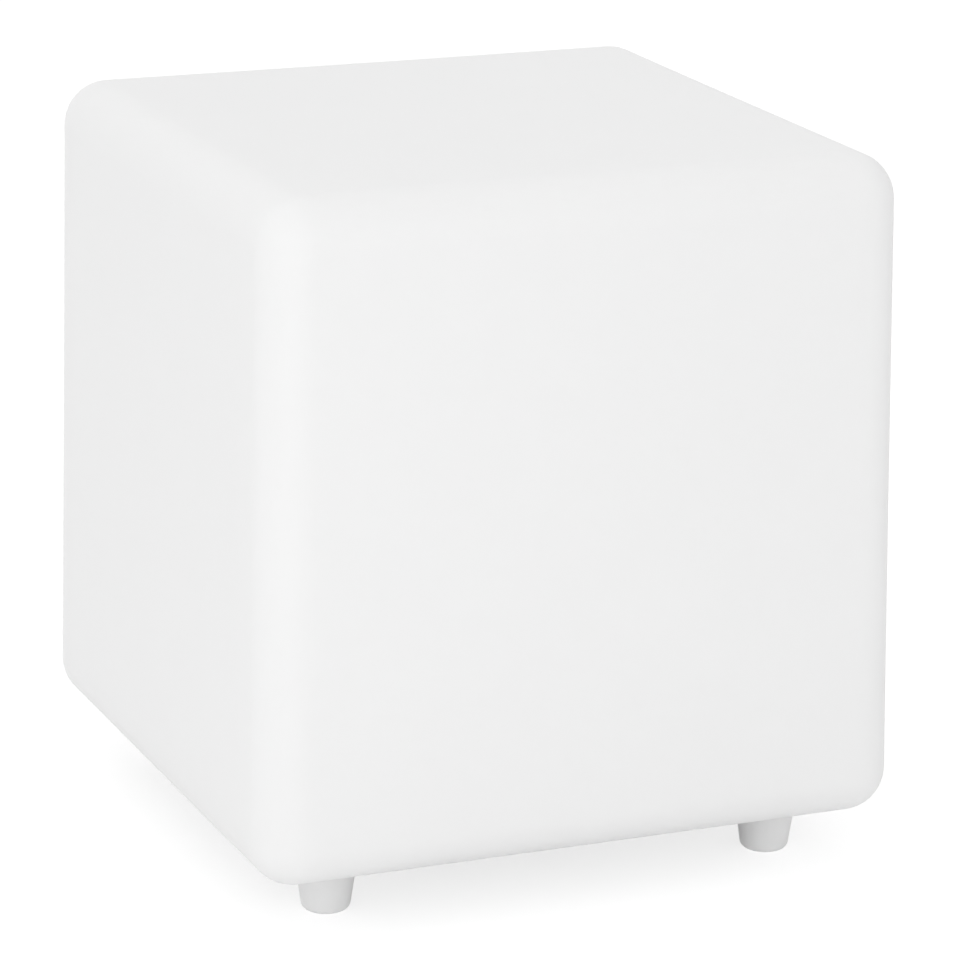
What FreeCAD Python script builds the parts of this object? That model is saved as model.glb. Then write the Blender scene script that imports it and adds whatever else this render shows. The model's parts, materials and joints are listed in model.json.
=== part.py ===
# Cube-shaped garden lamp. A hollow moulded cube of translucent white plastic stands on four
# short feet that are moulded in one with it. A round light module is screwed into its underside:
# a base plate with a drum, a sunk pan for the push button and the charging socket, two battery
# cells, a control board, and an LED board under a frosted dome.
#
# Frame: +Z up, origin on the ground under the middle of the cube. The button and the charging
# socket lie along X, the battery cells run along X on either side of the well.
# All sizes are in millimetres and degrees.
import FreeCAD, Part
import math
import os

from FreeCAD import Vector

# ---------------------------------------------------------------- moulded cube and its feet
BODY_WIDTH = 300.0            # across two sides, at half the body's height
BODY_HEIGHT = 302.5           # underside to top, without the feet
SIDE_DRAFT = 0.85             # each side leans in by this angle towards the top
EDGE_RADIUS = 20.5
SHELL_WALL = 3.0
FOOT_HEIGHT = 24.5
FOOT_INSET = 45.4             # from a side's lower edge to the foot's axis
FOOT_ROOT_RADIUS = 14.2
FOOT_TIP_RADIUS = 10.6
FOOT_TIP_ROUND = 3.6
FOOT_ROOT_ROUND = 3.0
FOOT_WALL = 3.0

# ---------------------------------------------------------------- seat of the light module
SEAT_DEPTH = 5.0              # how far the flange's seat is sunk into the underside
SEAT_WIDTH = 20.0             # of the ring that the flange is screwed to
SEAT_ROUND = 0.9              # at the recess's mouth
SEAT_BACK_ROUND = 1.5         # where the seat's back falls to the floor, inside
SEAT_CORNER = 0.5             # at the recess's inner corner
FLANGE_CLEARANCE = 0.6        # round the flange, in its recess
FLANGE_THICKNESS = 3.5
FLANGE_ROUND = 0.9
GASKET_THICKNESS = 1.2
GASKET_MARGIN = 1.2           # from the seat's edges to the gasket's
GASKET_HOLE_CLEARANCE = 0.6   # round a screw, in the gasket
OPENING_CLEARANCE = 0.4       # round the drum, in the shell's opening

# ---------------------------------------------------------------- fasteners
BASE_SCREWS = 6
BASE_SCREW_RADIUS = 2.0
BASE_SCREW_LENGTH = 12.0      # under the top of the head
BASE_HEAD_RADIUS = 4.0
BASE_HEAD_HEIGHT = 2.2
INSERT_RADIUS = 4.0
INSERT_LENGTH = 9.0
INSERT_COVER = 3.0            # of shell plastic round a moulded-in insert
INSERT_GROOVE = 0.7           # depth of the groove that keys an insert into the shell
INSERT_GROOVE_WIDTH = 1.8
BOSS_ROUND = 2.0
SMALL_SCREW_RADIUS = 1.3
SMALL_SCREW_LENGTH = 8.0
SMALL_HEAD_RADIUS = 2.6
SMALL_HEAD_HEIGHT = 1.7
DRIVE_DEPTH = 1.1             # of the cross recess in a head
DRIVE_WIDTH = 0.8
DRIVE_REACH = 0.7             # of the head's radius
SCREW_CLEARANCE = 0.15        # round a shank in its hole
THREAD_CLEARANCE = 0.05       # round a shank in its thread
SCREW_POINT = 0.5             # rounding of a screw's end
PAN_HEAD_ROUND = 0.8

# ---------------------------------------------------------------- base plate and its sunk pan
WELL_RADIUS = 32.0            # at the well's floor
WELL_DRAFT = 3.0
WELL_DEPTH = 12.0
WELL_WALL = 2.5
WELL_FLOOR = 2.5
WELL_ROUND = 2.0
DRUM_WALL = 2.6
DRUM_ROOM = 1.0               # from the battery holders' corners to the drum
RIB_THICKNESS = 1.8
RIB_HEIGHT = 7.0
INNER_ROUND = 1.0             # where walls meet floors inside the module
PAN_LIP_WIDTH = 2.4           # of the lip that rests on the base plate
PAN_LIP_THICKNESS = 2.0
PAN_CLEARANCE = 0.3           # round the pan, in the base plate's opening
PAN_EAR_RADIUS = 4.6          # of the lip's ears, which the board's posts hold down
PILLAR_RADIUS = 3.6           # posts that take a small screw
POST_FLATS = 6.0              # across the flats of a board post
POST_CLEARANCE = 1.2          # from the well's wall to a board post's corners
POST_STEM_RADIUS = 1.5
POST_STEM_DEPTH = 2.2         # how far a board post's stem goes into the base plate
TRAY_PILLAR_RADIUS = 4.2      # pillars on the drum's wall, under the LED tray
SEAT_GAP = 0.05               # between solids that rest on each other on curved faces
OVERLAP = 1.0                 # how far a joined or cutting shape runs past the face it meets

# ---------------------------------------------------------------- push button and its switch
BUTTON_X = 19.0
BUTTON_RADIUS = 6.9
BUTTON_CLEARANCE = 0.3
BUTTON_TRAVEL = 1.2
BUTTON_STAND = 1.4            # how far the button stands out of its collar
BUTTON_ROUND = 1.0
BUTTON_DISH = 0.5             # depth of the hollow in its face
BUTTON_DISH_SHARE = 0.85      # of the face inside its rounding
BUTTON_FLANGE = 1.0           # thickness of the flange that holds it in
BUTTON_FLANGE_WIDTH = 1.5
BUTTON_FLANGE_ROUND = 0.3
COLLAR_WALL = 2.4             # of the collar round the button
COLLAR_HEIGHT = 1.5
SEAL_RADIUS = 0.6             # of the button seal's section
SEAL_CLEARANCE = 0.05
SEAL_ROUND = 0.33
SWITCH_SIZE = 8.0
SWITCH_HEIGHT = 7.0
SWITCH_ROUND = 0.6
SWITCH_GAP = 0.3              # left between button and switch at full travel
STEM_RADIUS = 1.6
STEM_SOCKET = 2.0             # how far the stem reaches into the button
STEM_HIDDEN = 3.5             # how far the stem reaches into the switch
STEM_CLEARANCE = 0.1

# ---------------------------------------------------------------- charging socket and its cover
PORT_X = -8.0
PORT_COLLAR_WALL = 3.0
PORT_COLLAR_HEIGHT = 4.0
PORT_POCKET_RADIUS = 7.0
SOCKET_RADIUS = 5.2
SOCKET_BORE_RADIUS = 3.15
SOCKET_BORE_DEPTH = 9.5
SOCKET_CLEARANCE = 0.3
SOCKET_PIN_RADIUS = 1.0
SOCKET_PIN_LENGTH = 8.6
SOCKET_PIN_ROUND = 0.7
SOCKET_SEAL_WIDTH = 2.0
SOCKET_SEAL_HEIGHT = 2.0
COVER_THICKNESS = 1.6
COVER_PLUG_DEPTH = 2.4
COVER_CLEARANCE = 0.35        # between the cover and what it closes
COVER_ROUND = 0.6
COVER_PLUG_TAPER = 0.5        # how much smaller the plug is at its end
COVER_HINGE = 13.0            # from the socket's axis to the line that the strap bends on
COVER_HINGE_GAP = 1.1         # from that line to the anchored part of the strap
STRAP_WIDTH = 6.0
STRAP_THICKNESS = 1.0
TAB_LENGTH = 4.5
TAB_WIDTH = 7.0
TAB_CORNER = 2.1
ANCHOR_OFFSET = 4.6           # from the bending line to the anchor's axis
ANCHOR_RADIUS = 3.4
ANCHOR_STEM_RADIUS = 1.5
ANCHOR_BULB_RADIUS = 2.3
ANCHOR_BULB_HEIGHT = 2.4
ANCHOR_TIP_RADIUS = 0.9
ANCHOR_TIP_ROUND = 0.5
ANCHOR_BOSS_MARGIN = 0.4      # of the anchor's seat round its head

# ---------------------------------------------------------------- charge indicator
INDICATOR_X = 6.0
INDICATOR_Y = -15.0
PIPE_RADIUS = 1.5
PIPE_FLANGE = 0.8
PIPE_ROUND = 0.4
PIPE_CLEARANCE = 0.1
INDICATOR_LED = (2.0, 1.2, 0.8)

# ---------------------------------------------------------------- control board
BOARD_WIDTH = 46.0
BOARD_THICKNESS = 1.6
BOARD_MARGIN = 4.0            # from the board's edges to its screws
BOARD_CORNER = 2.5
COMPONENT_ROOM = 9.5          # above the board, under the LED tray
CHIP = (10.0, 6.2, 1.8)       # over its legs
CHIP_LEG = (0.45, 1.4, 0.5)
CHIP_LEG_PITCH = 1.27
CHIP_LEG_ROOT = 0.35          # of a leg's length inside the chip's case
CHIP_STAND = 0.2              # of the chip's case over the board
COIL_RADIUS = 5.0
COIL_HEIGHT = 4.5
COIL_ROUND = 0.4
CAPACITOR_RADIUS = 3.2
CAPACITOR_HEIGHT = 6.5
CAPACITOR_ROUND = 0.5
DRIVER = (6.0, 5.0, 2.0)      # one driver for each of the colours
DRIVER_PITCH = 8.0
DRIVER_COUNT = 4
DRIVER_EDGE = 5.0             # from the board's edge to the middle of the drivers
COIL_FLANGE = 1.0
COIL_WAIST = 0.75             # of the coil's radius, between its flanges
BATTERY_SOCKET = (7.0, 6.0, 5.4)   # its plug goes in from the board's end
LED_SOCKET = (9.2, 5.4, 6.0)       # its plug goes in from above
SOCKET_SKIN = 0.9             # wall round a plug
SOCKET_SPACING = 8.0          # between the two battery sockets at one end
PLUG_DEPTH = 4.5
PLUG_PROUD = 1.0              # how far a battery plug stands out of its socket

# ---------------------------------------------------------------- battery
CELL_RADIUS = 9.2
CELL_LENGTH = 65.0
CELL_NIB_RADIUS = 3.0
CELL_NIB = 1.0
CELL_NIB_ROUND = 0.3
CELL_CLEARANCE = 0.4
HOLDER_SIDE_RISE = 0.6        # of the holder's side walls over the cell's axis
HOLDER_END_RISE = 6.0         # of its end walls over the cell's axis
FINGER_GAP = 17.0             # from the cell's axis to the middle of the dip in the side walls
FINGER_RADIUS = 20.0          # of the dip that a finger lifts the cell from
HOLDER_WALL = 1.6
HOLDER_GAP = 0.6              # from the pan's lip to the holders
CELL_ROUND = 0.8
CONTACT_ROOM = 3.4
CONTACT_THICKNESS = 0.4
CONTACT_WIDTH = 9.0
SPRING_TURNS = 3
SPRING_RADIUS = 3.2
SPRING_WIRE = 0.35

# ---------------------------------------------------------------- leads inside the module
LEAD_RADIUS = 0.9
LEAD_BEND = 3.5
LEAD_EXIT = 3.0               # straight run where a lead leaves a holder
LEAD_PLUG_RUN = 1.0           # least straight run where a lead leaves its plug
LEAD_DROP = 3.4               # of a lead's exit under the cell's axis
LED_WIRES = 5
LED_WIRE_RADIUS = 0.5
LED_WIRE_PITCH = 1.4

# ---------------------------------------------------------------- LED tray, board and dome
TRAY_THICKNESS = 2.0
TRAY_CLEARANCE = 0.4
TRAY_HOLE_RADIUS = 6.0        # where the LED wires pass
LED_BOARD_MARGIN = 11.0       # from the tray's edge to the LED board's
LED_BOARD_THICKNESS = 1.6
LED_BOARD_BOSS = 6.0          # under the tray, round the LED board's screws
LED_SIZE = 5.0
LED_HEIGHT = 1.5
LED_WINDOW_RADIUS = 1.9
LED_WINDOW_DEPTH = 0.3
LED_RING_COUNTS = (12, 8, 4)
LED_RING_INSETS = (7.0, 23.0, 38.0)   # from the LED board's edge to each ring
RECEIVER = (5.6, 3.0, 6.5)
RECEIVER_LENS_RADIUS = 2.2
RECEIVER_LENS_HEIGHT = 3.9    # of the lens over the LED board
DOME_HEIGHT = 34.0
DOME_WALL = 2.0
DOME_FLANGE = 2.4
DOME_SPIGOT_DEPTH = 4.5
DOME_SPIGOT_WALL = 1.6
DOME_SPIGOT_CLEARANCE = 0.2
DOME_BEAD = 0.5
DOME_BEAD_CLEARANCE = 0.15
BEAD_ROOT = 0.4               # how far a bead's root is sunk into its wall
DOME_SEAL_THICKNESS = 1.0
DOME_SEAL_MARGIN = 0.2        # from the drum's edges to the seal's
STACK_GAP = 0.6               # between stacked pieces that don't touch

# ---------------------------------------------------------------- levels and radii that follow
body_bottom = FOOT_HEIGHT
body_top = body_bottom + BODY_HEIGHT
base_half_width = BODY_WIDTH / 2 + BODY_HEIGHT / 2 * math.tan(math.radians(SIDE_DRAFT))
foot_centre = base_half_width - FOOT_INSET

seat_z = body_bottom + SEAT_DEPTH
flange_top = seat_z - GASKET_THICKNESS
flange_bottom = flange_top - FLANGE_THICKNESS
well_under = flange_bottom + WELL_DEPTH
well_top = well_under + WELL_FLOOR
well_mouth_radius = WELL_RADIUS + WELL_DEPTH * math.tan(math.radians(WELL_DRAFT))
well_outer_radius = well_mouth_radius + WELL_WALL
pan_opening_radius = well_outer_radius + PAN_CLEARANCE
lip_radius = well_outer_radius + PAN_LIP_WIDTH
lip_top = flange_top + PAN_LIP_THICKNESS

button_flange_top = well_top + BUTTON_FLANGE
switch_under = button_flange_top + BUTTON_TRAVEL + SWITCH_GAP
board_under = switch_under + SWITCH_HEIGHT
board_top = board_under + BOARD_THICKNESS
tray_under = board_top + COMPONENT_ROOM
tray_top = tray_under + TRAY_THICKNESS
led_board_top = tray_top + LED_BOARD_THICKNESS
drum_top = tray_top + SMALL_HEAD_HEIGHT + STACK_GAP + DOME_SPIGOT_DEPTH
bead_z = drum_top - DOME_SPIGOT_DEPTH + 2 * DOME_BEAD

holder_inner = CELL_RADIUS + CELL_CLEARANCE
holder_width = 2 * (holder_inner + HOLDER_WALL)
holder_inner_length = CELL_LENGTH + CELL_NIB + 2 * CONTACT_ROOM
holder_length = holder_inner_length + 2 * HOLDER_WALL
battery_y = lip_radius + HOLDER_GAP + holder_width / 2
cell_z = flange_top + HOLDER_WALL + holder_inner

drum_inner = math.hypot(holder_length / 2, battery_y + holder_width / 2) + DRUM_ROOM
drum_radius = drum_inner + DRUM_WALL
opening_radius = drum_radius + OPENING_CLEARANCE
seat_radius = opening_radius + SEAT_WIDTH
flange_radius = seat_radius - FLANGE_CLEARANCE
screw_circle = opening_radius + SEAT_WIDTH / 2
tray_radius = drum_inner - TRAY_CLEARANCE
tray_screw_circle = drum_inner - PILLAR_RADIUS
led_board_radius = tray_radius - LED_BOARD_MARGIN
led_screw_circle = led_board_radius - 2 * SMALL_HEAD_RADIUS

port_rim = well_under - PORT_COLLAR_HEIGHT
cover_top = port_rim - COVER_CLEARANCE
hinge_x = PORT_X - COVER_HINGE
hinge_z = cover_top - STRAP_THICKNESS / 2
anchor_x = hinge_x - ANCHOR_OFFSET
post_corner = POST_FLATS / math.sqrt(3)
post_circle = well_outer_radius + POST_CLEARANCE + post_corner
board_screw_y = BOARD_WIDTH / 2 - BOARD_MARGIN
board_screw_x = math.sqrt(post_circle ** 2 - board_screw_y ** 2)
board_length = 2 * (board_screw_x + BOARD_MARGIN)
rib_start = post_circle + PAN_EAR_RADIUS + PAN_CLEARANCE


# ================================================================ shapes that many pieces use
def outline(corners):
    """Closed wire in the XZ plane from corners (x, z, rounding), each rounded by a tangent arc."""
    edges = []
    ends = []
    count = len(corners)
    for i, (x, z, rounding) in enumerate(corners):
        here = Vector(x, 0, z)
        before = Vector(corners[i - 1][0], 0, corners[i - 1][1])
        after = Vector(corners[(i + 1) % count][0], 0, corners[(i + 1) % count][1])
        to_before = (before - here).normalize()
        to_after = (after - here).normalize()
        if rounding <= 0:
            ends.append((here, None, here))
            continue
        half_angle = to_before.getAngle(to_after) / 2
        reach = rounding / math.tan(half_angle)
        middle = (to_before + to_after).normalize()
        centre = here + middle * (rounding / math.sin(half_angle))
        ends.append((here + to_before * reach, centre - middle * rounding, here + to_after * reach))
    for i, (start, crown, end) in enumerate(ends):
        if crown is not None:
            edges.append(Part.Arc(start, crown, end).toShape())
        next_start = ends[(i + 1) % count][0]
        if end.distanceToPoint(next_start) > 1e-6:
            edges.append(Part.makeLine(end, next_start))
    return Part.Wire(edges)


def turned(corners, x=0.0, y=0.0):
    """Solid of revolution about the vertical line through (x, y), from a half section."""
    face = Part.Face(outline(corners))
    solid = face.revolve(Vector(0, 0, 0), Vector(0, 0, 1), 360)
    solid.translate(Vector(x, y, 0))
    return solid


def post(radius, low, high, x=0.0, y=0.0):
    """Round post between two levels."""
    return Part.makeCylinder(radius, high - low, Vector(x, y, low))


def tube(outer, inner, low, high, x=0.0, y=0.0):
    """Round tube between two levels."""
    return post(outer, low, high, x, y).cut(post(inner, low, high, x, y))


def block(size, x=0.0, y=0.0, low=0.0):
    """Block of a size (x, y, z), centred on (x, y) and standing at a level."""
    return Part.makeBox(size[0], size[1], size[2], Vector(x - size[0] / 2, y - size[1] / 2, low))


def rounded_plate(length, width, corner, low, high):
    """Rectangular plate with rounded corners, centred on the axis."""
    plate = block((length, width, high - low), low=low)
    upright = [e for e in plate.Edges if abs(e.Vertexes[0].Z - e.Vertexes[1].Z) > 1e-6]
    return plate.makeFillet(corner, upright)


def ring_places(count, radius, first_angle=0.0):
    """Places (x, y) spaced evenly round a circle."""
    angles = [math.radians(first_angle + 360.0 * i / count) for i in range(count)]
    return [(radius * math.cos(a), radius * math.sin(a)) for a in angles]


def rectangle_places(half_x, half_y):
    """The four corners (x, y) of a rectangle about the axis."""
    return [(sx * half_x, sy * half_y) for sx in (-1, 1) for sy in (-1, 1)]


def fused(pieces):
    """One solid from several that meet."""
    whole = pieces[0].multiFuse(pieces[1:]) if len(pieces) > 1 else pieces[0]
    return whole.removeSplitter()


def cross_recess(radius, face_z, inward):
    """Tool that cuts a cross into a screw head; inward is +1 or -1 along Z from the face."""
    reach = 2 * radius * DRIVE_REACH
    low = face_z if inward > 0 else face_z - DRIVE_DEPTH
    along = block((reach, DRIVE_WIDTH, DRIVE_DEPTH), low=low)
    across = block((DRIVE_WIDTH, reach, DRIVE_DEPTH), low=low)
    return along.fuse(across)


def small_screw(x, y, head_seat, length=SMALL_SCREW_LENGTH):
    """Pan-head screw that points down, with its head's underside at head_seat."""
    top = head_seat + SMALL_HEAD_HEIGHT
    screw = turned([
        (0, head_seat - length, 0), (SMALL_SCREW_RADIUS, head_seat - length, SCREW_POINT),
        (SMALL_SCREW_RADIUS, head_seat, 0), (SMALL_HEAD_RADIUS, head_seat, 0),
        (SMALL_HEAD_RADIUS, top, PAN_HEAD_ROUND), (0, top, 0),
    ])
    screw = screw.cut(cross_recess(SMALL_HEAD_RADIUS, top, -1))
    screw.translate(Vector(x, y, 0))
    return screw


def lead(points):
    """Round lead along straight runs joined by tangent arcs."""
    path = []
    start = points[0]
    for before, here, after in zip(points, points[1:], points[2:]):
        to_before = (before - here).normalize()
        to_after = (after - here).normalize()
        half_angle = to_before.getAngle(to_after) / 2
        reach = LEAD_BEND / math.tan(half_angle)
        middle = (to_before + to_after).normalize()
        crown = here + middle * (LEAD_BEND / math.sin(half_angle) - LEAD_BEND)
        path.append(Part.makeLine(start, here + to_before * reach))
        path.append(Part.Arc(here + to_before * reach, crown, here + to_after * reach).toShape())
        start = here + to_after * reach
    path.append(Part.makeLine(start, points[-1]))
    section = Part.Wire(Part.makeCircle(LEAD_RADIUS, points[0], points[1] - points[0]))
    return Part.Wire(path).makePipeShell([section], True, False)


# ================================================================ moulded shell
def drafted_block(half_width, low, high, edge_radius):
    """Square block whose sides lean in by the draft, with every edge rounded.

    half_width is that of the side planes at half the body's height."""
    middle = (body_bottom + body_top) / 2
    rings = []
    for z in (low, high):
        half = half_width + (middle - z) * math.tan(math.radians(SIDE_DRAFT))
        corners = [Vector(-half, -half, z), Vector(half, -half, z), Vector(half, half, z),
                   Vector(-half, half, z)]
        rings.append(Part.makePolygon(corners + corners[:1]))
    solid = Part.makeLoft(rings, True, True)
    return solid.makeFillet(edge_radius, solid.Edges)


def foot_section(inset, low, high, tip_round, root_round, reach):
    """Half section of a foot: tip, leaning side, flared root at high, and a stub above it.

    inset moves the side inwards, so that the same section makes the foot and its hollow."""
    lean = (FOOT_ROOT_RADIUS - FOOT_TIP_RADIUS) / FOOT_HEIGHT
    tip = FOOT_TIP_RADIUS - inset + lean * low
    root = FOOT_TIP_RADIUS - inset + lean * high
    flare = root + 2 * root_round
    return [
        (0, low, 0), (tip, low, tip_round), (root, high, root_round), (flare, high, 0),
        (flare, high + reach, 0), (0, high + reach, 0),
    ]


def cube_shell():
    """Hollow cube with drafted sides, four hollow feet, a sunk seat and bosses for the inserts."""
    feet = rectangle_places(foot_centre, foot_centre)
    outside = drafted_block(BODY_WIDTH / 2, body_bottom, body_top, EDGE_RADIUS)
    foot = foot_section(0, 0, body_bottom, FOOT_TIP_ROUND, FOOT_ROOT_ROUND, SHELL_WALL / 2)
    outside = outside.multiFuse([turned(foot, x, y) for x, y in feet])

    cavity_floor = body_bottom + SHELL_WALL
    hollow = drafted_block(BODY_WIDTH / 2 - SHELL_WALL, cavity_floor, body_top - SHELL_WALL,
                           EDGE_RADIUS - SHELL_WALL)
    foot_hollow = foot_section(FOOT_WALL, FOOT_WALL, cavity_floor, FOOT_TIP_ROUND / 2,
                               FOOT_ROOT_ROUND, SHELL_WALL)
    hollow = hollow.multiFuse([turned(foot_hollow, x, y) for x, y in feet])

    seat_back = seat_z + SHELL_WALL
    kept_floor = turned([
        (0, cavity_floor - SHELL_WALL, 0), (seat_radius + SHELL_WALL, cavity_floor - SHELL_WALL, 0),
        (seat_radius + SHELL_WALL, seat_back, SEAT_BACK_ROUND), (0, seat_back, 0),
    ])
    boss_top = seat_z + INSERT_LENGTH + INSERT_COVER
    boss_radius = INSERT_RADIUS + INSERT_COVER
    bosses = [
        turned([(0, seat_z, 0), (boss_radius, seat_z, 0), (boss_radius, boss_top, BOSS_ROUND),
                (0, boss_top, 0)], x, y)
        for x, y in screw_places()
    ]
    hollow = hollow.cut(fused([kept_floor] + bosses))

    recess = turned([
        (0, body_bottom - OVERLAP, 0), (seat_radius + SEAT_ROUND, body_bottom - OVERLAP, 0),
        (seat_radius + SEAT_ROUND, body_bottom, 0), (seat_radius, body_bottom, SEAT_ROUND),
        (seat_radius, seat_z, SEAT_CORNER), (0, seat_z, 0),
    ])
    opening = post(opening_radius, body_bottom, seat_back + OVERLAP)
    pockets = [post(INSERT_RADIUS, seat_z, seat_z + INSERT_LENGTH, x, y) for x, y in screw_places()]
    return outside.cut(hollow).cut(recess).cut(opening).cut(pockets)


def screw_places():
    """Places of the screws that hold the base plate."""
    return ring_places(BASE_SCREWS, screw_circle, 180.0 / BASE_SCREWS)


def threaded_inserts():
    """Brass inserts moulded into the shell's bosses, with a groove that keys them in."""
    low = seat_z
    high = seat_z + INSERT_LENGTH
    bore = BASE_SCREW_RADIUS + THREAD_CLEARANCE
    groove = INSERT_RADIUS - INSERT_GROOVE
    groove_low = low + (INSERT_LENGTH - INSERT_GROOVE_WIDTH) / 2
    groove_high = groove_low + INSERT_GROOVE_WIDTH
    section = [
        (bore, low, 0), (INSERT_RADIUS, low, 0), (INSERT_RADIUS, groove_low, 0),
        (groove, groove_low, 0), (groove, groove_high, 0), (INSERT_RADIUS, groove_high, 0),
        (INSERT_RADIUS, high, 0), (bore, high, 0),
    ]
    return [turned(section, x, y) for x, y in screw_places()]


def base_gasket():
    """Flat silicone ring between the base plate's flange and the shell's seat."""
    ring = tube(seat_radius - GASKET_MARGIN, opening_radius + GASKET_MARGIN, flange_top, seat_z)
    hole = BASE_SCREW_RADIUS + GASKET_HOLE_CLEARANCE
    return ring.cut([post(hole, flange_top, seat_z, x, y) for x, y in screw_places()])


# ================================================================ base plate and its screws
def base_plate():
    """Flange and drum in one moulding, with ribs, and pillars that carry the LED tray."""
    body = turned([
        (pan_opening_radius, flange_bottom, 0), (flange_radius, flange_bottom, FLANGE_ROUND),
        (flange_radius, flange_top, FLANGE_ROUND), (drum_radius, flange_top, 0),
        (drum_radius, drum_top, 0), (drum_inner, drum_top, 0),
        (drum_inner, flange_top, INNER_ROUND), (pan_opening_radius, flange_top, 0),
    ])
    pillars = [post(TRAY_PILLAR_RADIUS, flange_top - OVERLAP, tray_under, x, y)
               for x, y in ring_places(4, tray_screw_circle)]
    body = fused([body] + pillars + plate_ribs())

    holes = [post(POST_STEM_RADIUS + THREAD_CLEARANCE, flange_top - POST_STEM_DEPTH, flange_top, x, y)
             for x, y in board_screw_places()]
    for x, y in ring_places(4, tray_screw_circle):
        holes.append(post(SMALL_SCREW_RADIUS + THREAD_CLEARANCE,
                          tray_top - SMALL_SCREW_LENGTH - STACK_GAP, tray_under, x, y))
    for x, y in screw_places():
        holes.append(turned(base_screw_hole(), x, y))
    holes.append(turned(bead_section(drum_inner, bead_z, DOME_BEAD + DOME_BEAD_CLEARANCE)))
    return body.cut(holes)


def plate_ribs():
    """Upright ribs on the flange from near the pan to the drum, six of them round the axis."""
    length = drum_inner + DRUM_WALL / 2 - rib_start
    rib = Part.makeBox(length, RIB_THICKNESS, RIB_HEIGHT,
                       Vector(rib_start, -RIB_THICKNESS / 2, flange_top))
    post_angle = math.degrees(math.atan2(board_screw_y, board_screw_x))
    ribs = []
    for angle in (0, post_angle, -post_angle, 180, 180 - post_angle, 180 + post_angle):
        turned_rib = rib.copy()
        turned_rib.rotate(Vector(0, 0, 0), Vector(0, 0, 1), angle)
        ribs.append(turned_rib)
    return ribs


def well_pan():
    """Sunk pan: a well open below, a lip with four ears, and collars round what its floor holds."""
    pan = turned([
        (0, well_under, 0), (WELL_RADIUS, well_under, WELL_ROUND),
        (well_mouth_radius, flange_bottom, FLANGE_ROUND), (well_outer_radius, flange_bottom, 0),
        (well_outer_radius, flange_top, 0), (lip_radius, flange_top, 0), (lip_radius, lip_top, 0),
        (well_outer_radius, lip_top, INNER_ROUND),
        (WELL_RADIUS + WELL_WALL, well_top, INNER_ROUND), (0, well_top, 0),
    ])
    ears = [post(PAN_EAR_RADIUS, flange_top, lip_top, x, y) for x, y in board_screw_places()]
    collar = post(BUTTON_RADIUS + BUTTON_CLEARANCE + COLLAR_WALL, well_under - COLLAR_HEIGHT,
                  well_top, BUTTON_X)
    port_collar = post(PORT_POCKET_RADIUS + PORT_COLLAR_WALL, port_rim, well_top, PORT_X)
    anchor_boss = post(ANCHOR_RADIUS + ANCHOR_BOSS_MARGIN, port_rim, well_top, anchor_x)
    pan = fused([pan] + ears + [collar, port_collar, anchor_boss])

    holes = [post(BUTTON_RADIUS + BUTTON_CLEARANCE, port_rim, well_top, BUTTON_X),
             post(PORT_POCKET_RADIUS, port_rim, well_under, PORT_X),
             post(SOCKET_RADIUS + SOCKET_CLEARANCE, port_rim, well_top, PORT_X),
             post(ANCHOR_STEM_RADIUS + SEAT_GAP, port_rim, well_top, anchor_x),
             post(PIPE_RADIUS + PIPE_CLEARANCE, well_under, well_top, INDICATOR_X, INDICATOR_Y)]
    holes += [post(POST_STEM_RADIUS + SCREW_CLEARANCE, flange_top, lip_top, x, y)
              for x, y in board_screw_places()]
    return pan.cut(holes)


def board_posts():
    """Hexagonal posts that screw down through the pan's ears and carry the control board."""
    corners = ring_places(6, post_corner)
    base = [Vector(x, y, lip_top) for x, y in corners]
    body = Part.Face(Part.makePolygon(base + base[:1])).extrude(Vector(0, 0, board_under - lip_top))
    body = body.fuse(post(POST_STEM_RADIUS, flange_top - POST_STEM_DEPTH, lip_top))
    body = body.cut(post(SMALL_SCREW_RADIUS + THREAD_CLEARANCE,
                         board_top - SMALL_SCREW_LENGTH - STACK_GAP, board_under))
    posts = []
    for x, y in board_screw_places():
        one = body.copy()
        one.translate(Vector(x, y, 0))
        posts.append(one)
    return posts


def board_screw_places():
    """Places of the posts and screws that hold the control board."""
    return rectangle_places(board_screw_x, board_screw_y)


def base_screw_hole():
    """Half section of a countersunk hole through the flange."""
    hole = BASE_SCREW_RADIUS + SCREW_CLEARANCE
    head = BASE_HEAD_RADIUS + SCREW_CLEARANCE
    low = flange_bottom - OVERLAP
    high = flange_top + OVERLAP
    return [(0, low, 0), (head, low, 0), (head, flange_bottom, 0),
            (hole, flange_bottom + BASE_HEAD_HEIGHT, 0), (hole, high, 0), (0, high, 0)]


def base_screws():
    """Countersunk screws through the flange into the inserts, heads flush with the flange."""
    section = [
        (0, flange_bottom, 0), (BASE_HEAD_RADIUS, flange_bottom, 0),
        (BASE_SCREW_RADIUS, flange_bottom + BASE_HEAD_HEIGHT, 0),
        (BASE_SCREW_RADIUS, flange_bottom + BASE_SCREW_LENGTH, SCREW_POINT),
        (0, flange_bottom + BASE_SCREW_LENGTH, 0),
    ]
    screw = turned(section).cut(cross_recess(BASE_HEAD_RADIUS, flange_bottom, 1))
    screws = []
    for x, y in screw_places():
        one = screw.copy()
        one.translate(Vector(x, y, 0))
        screws.append(one)
    return screws


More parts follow.
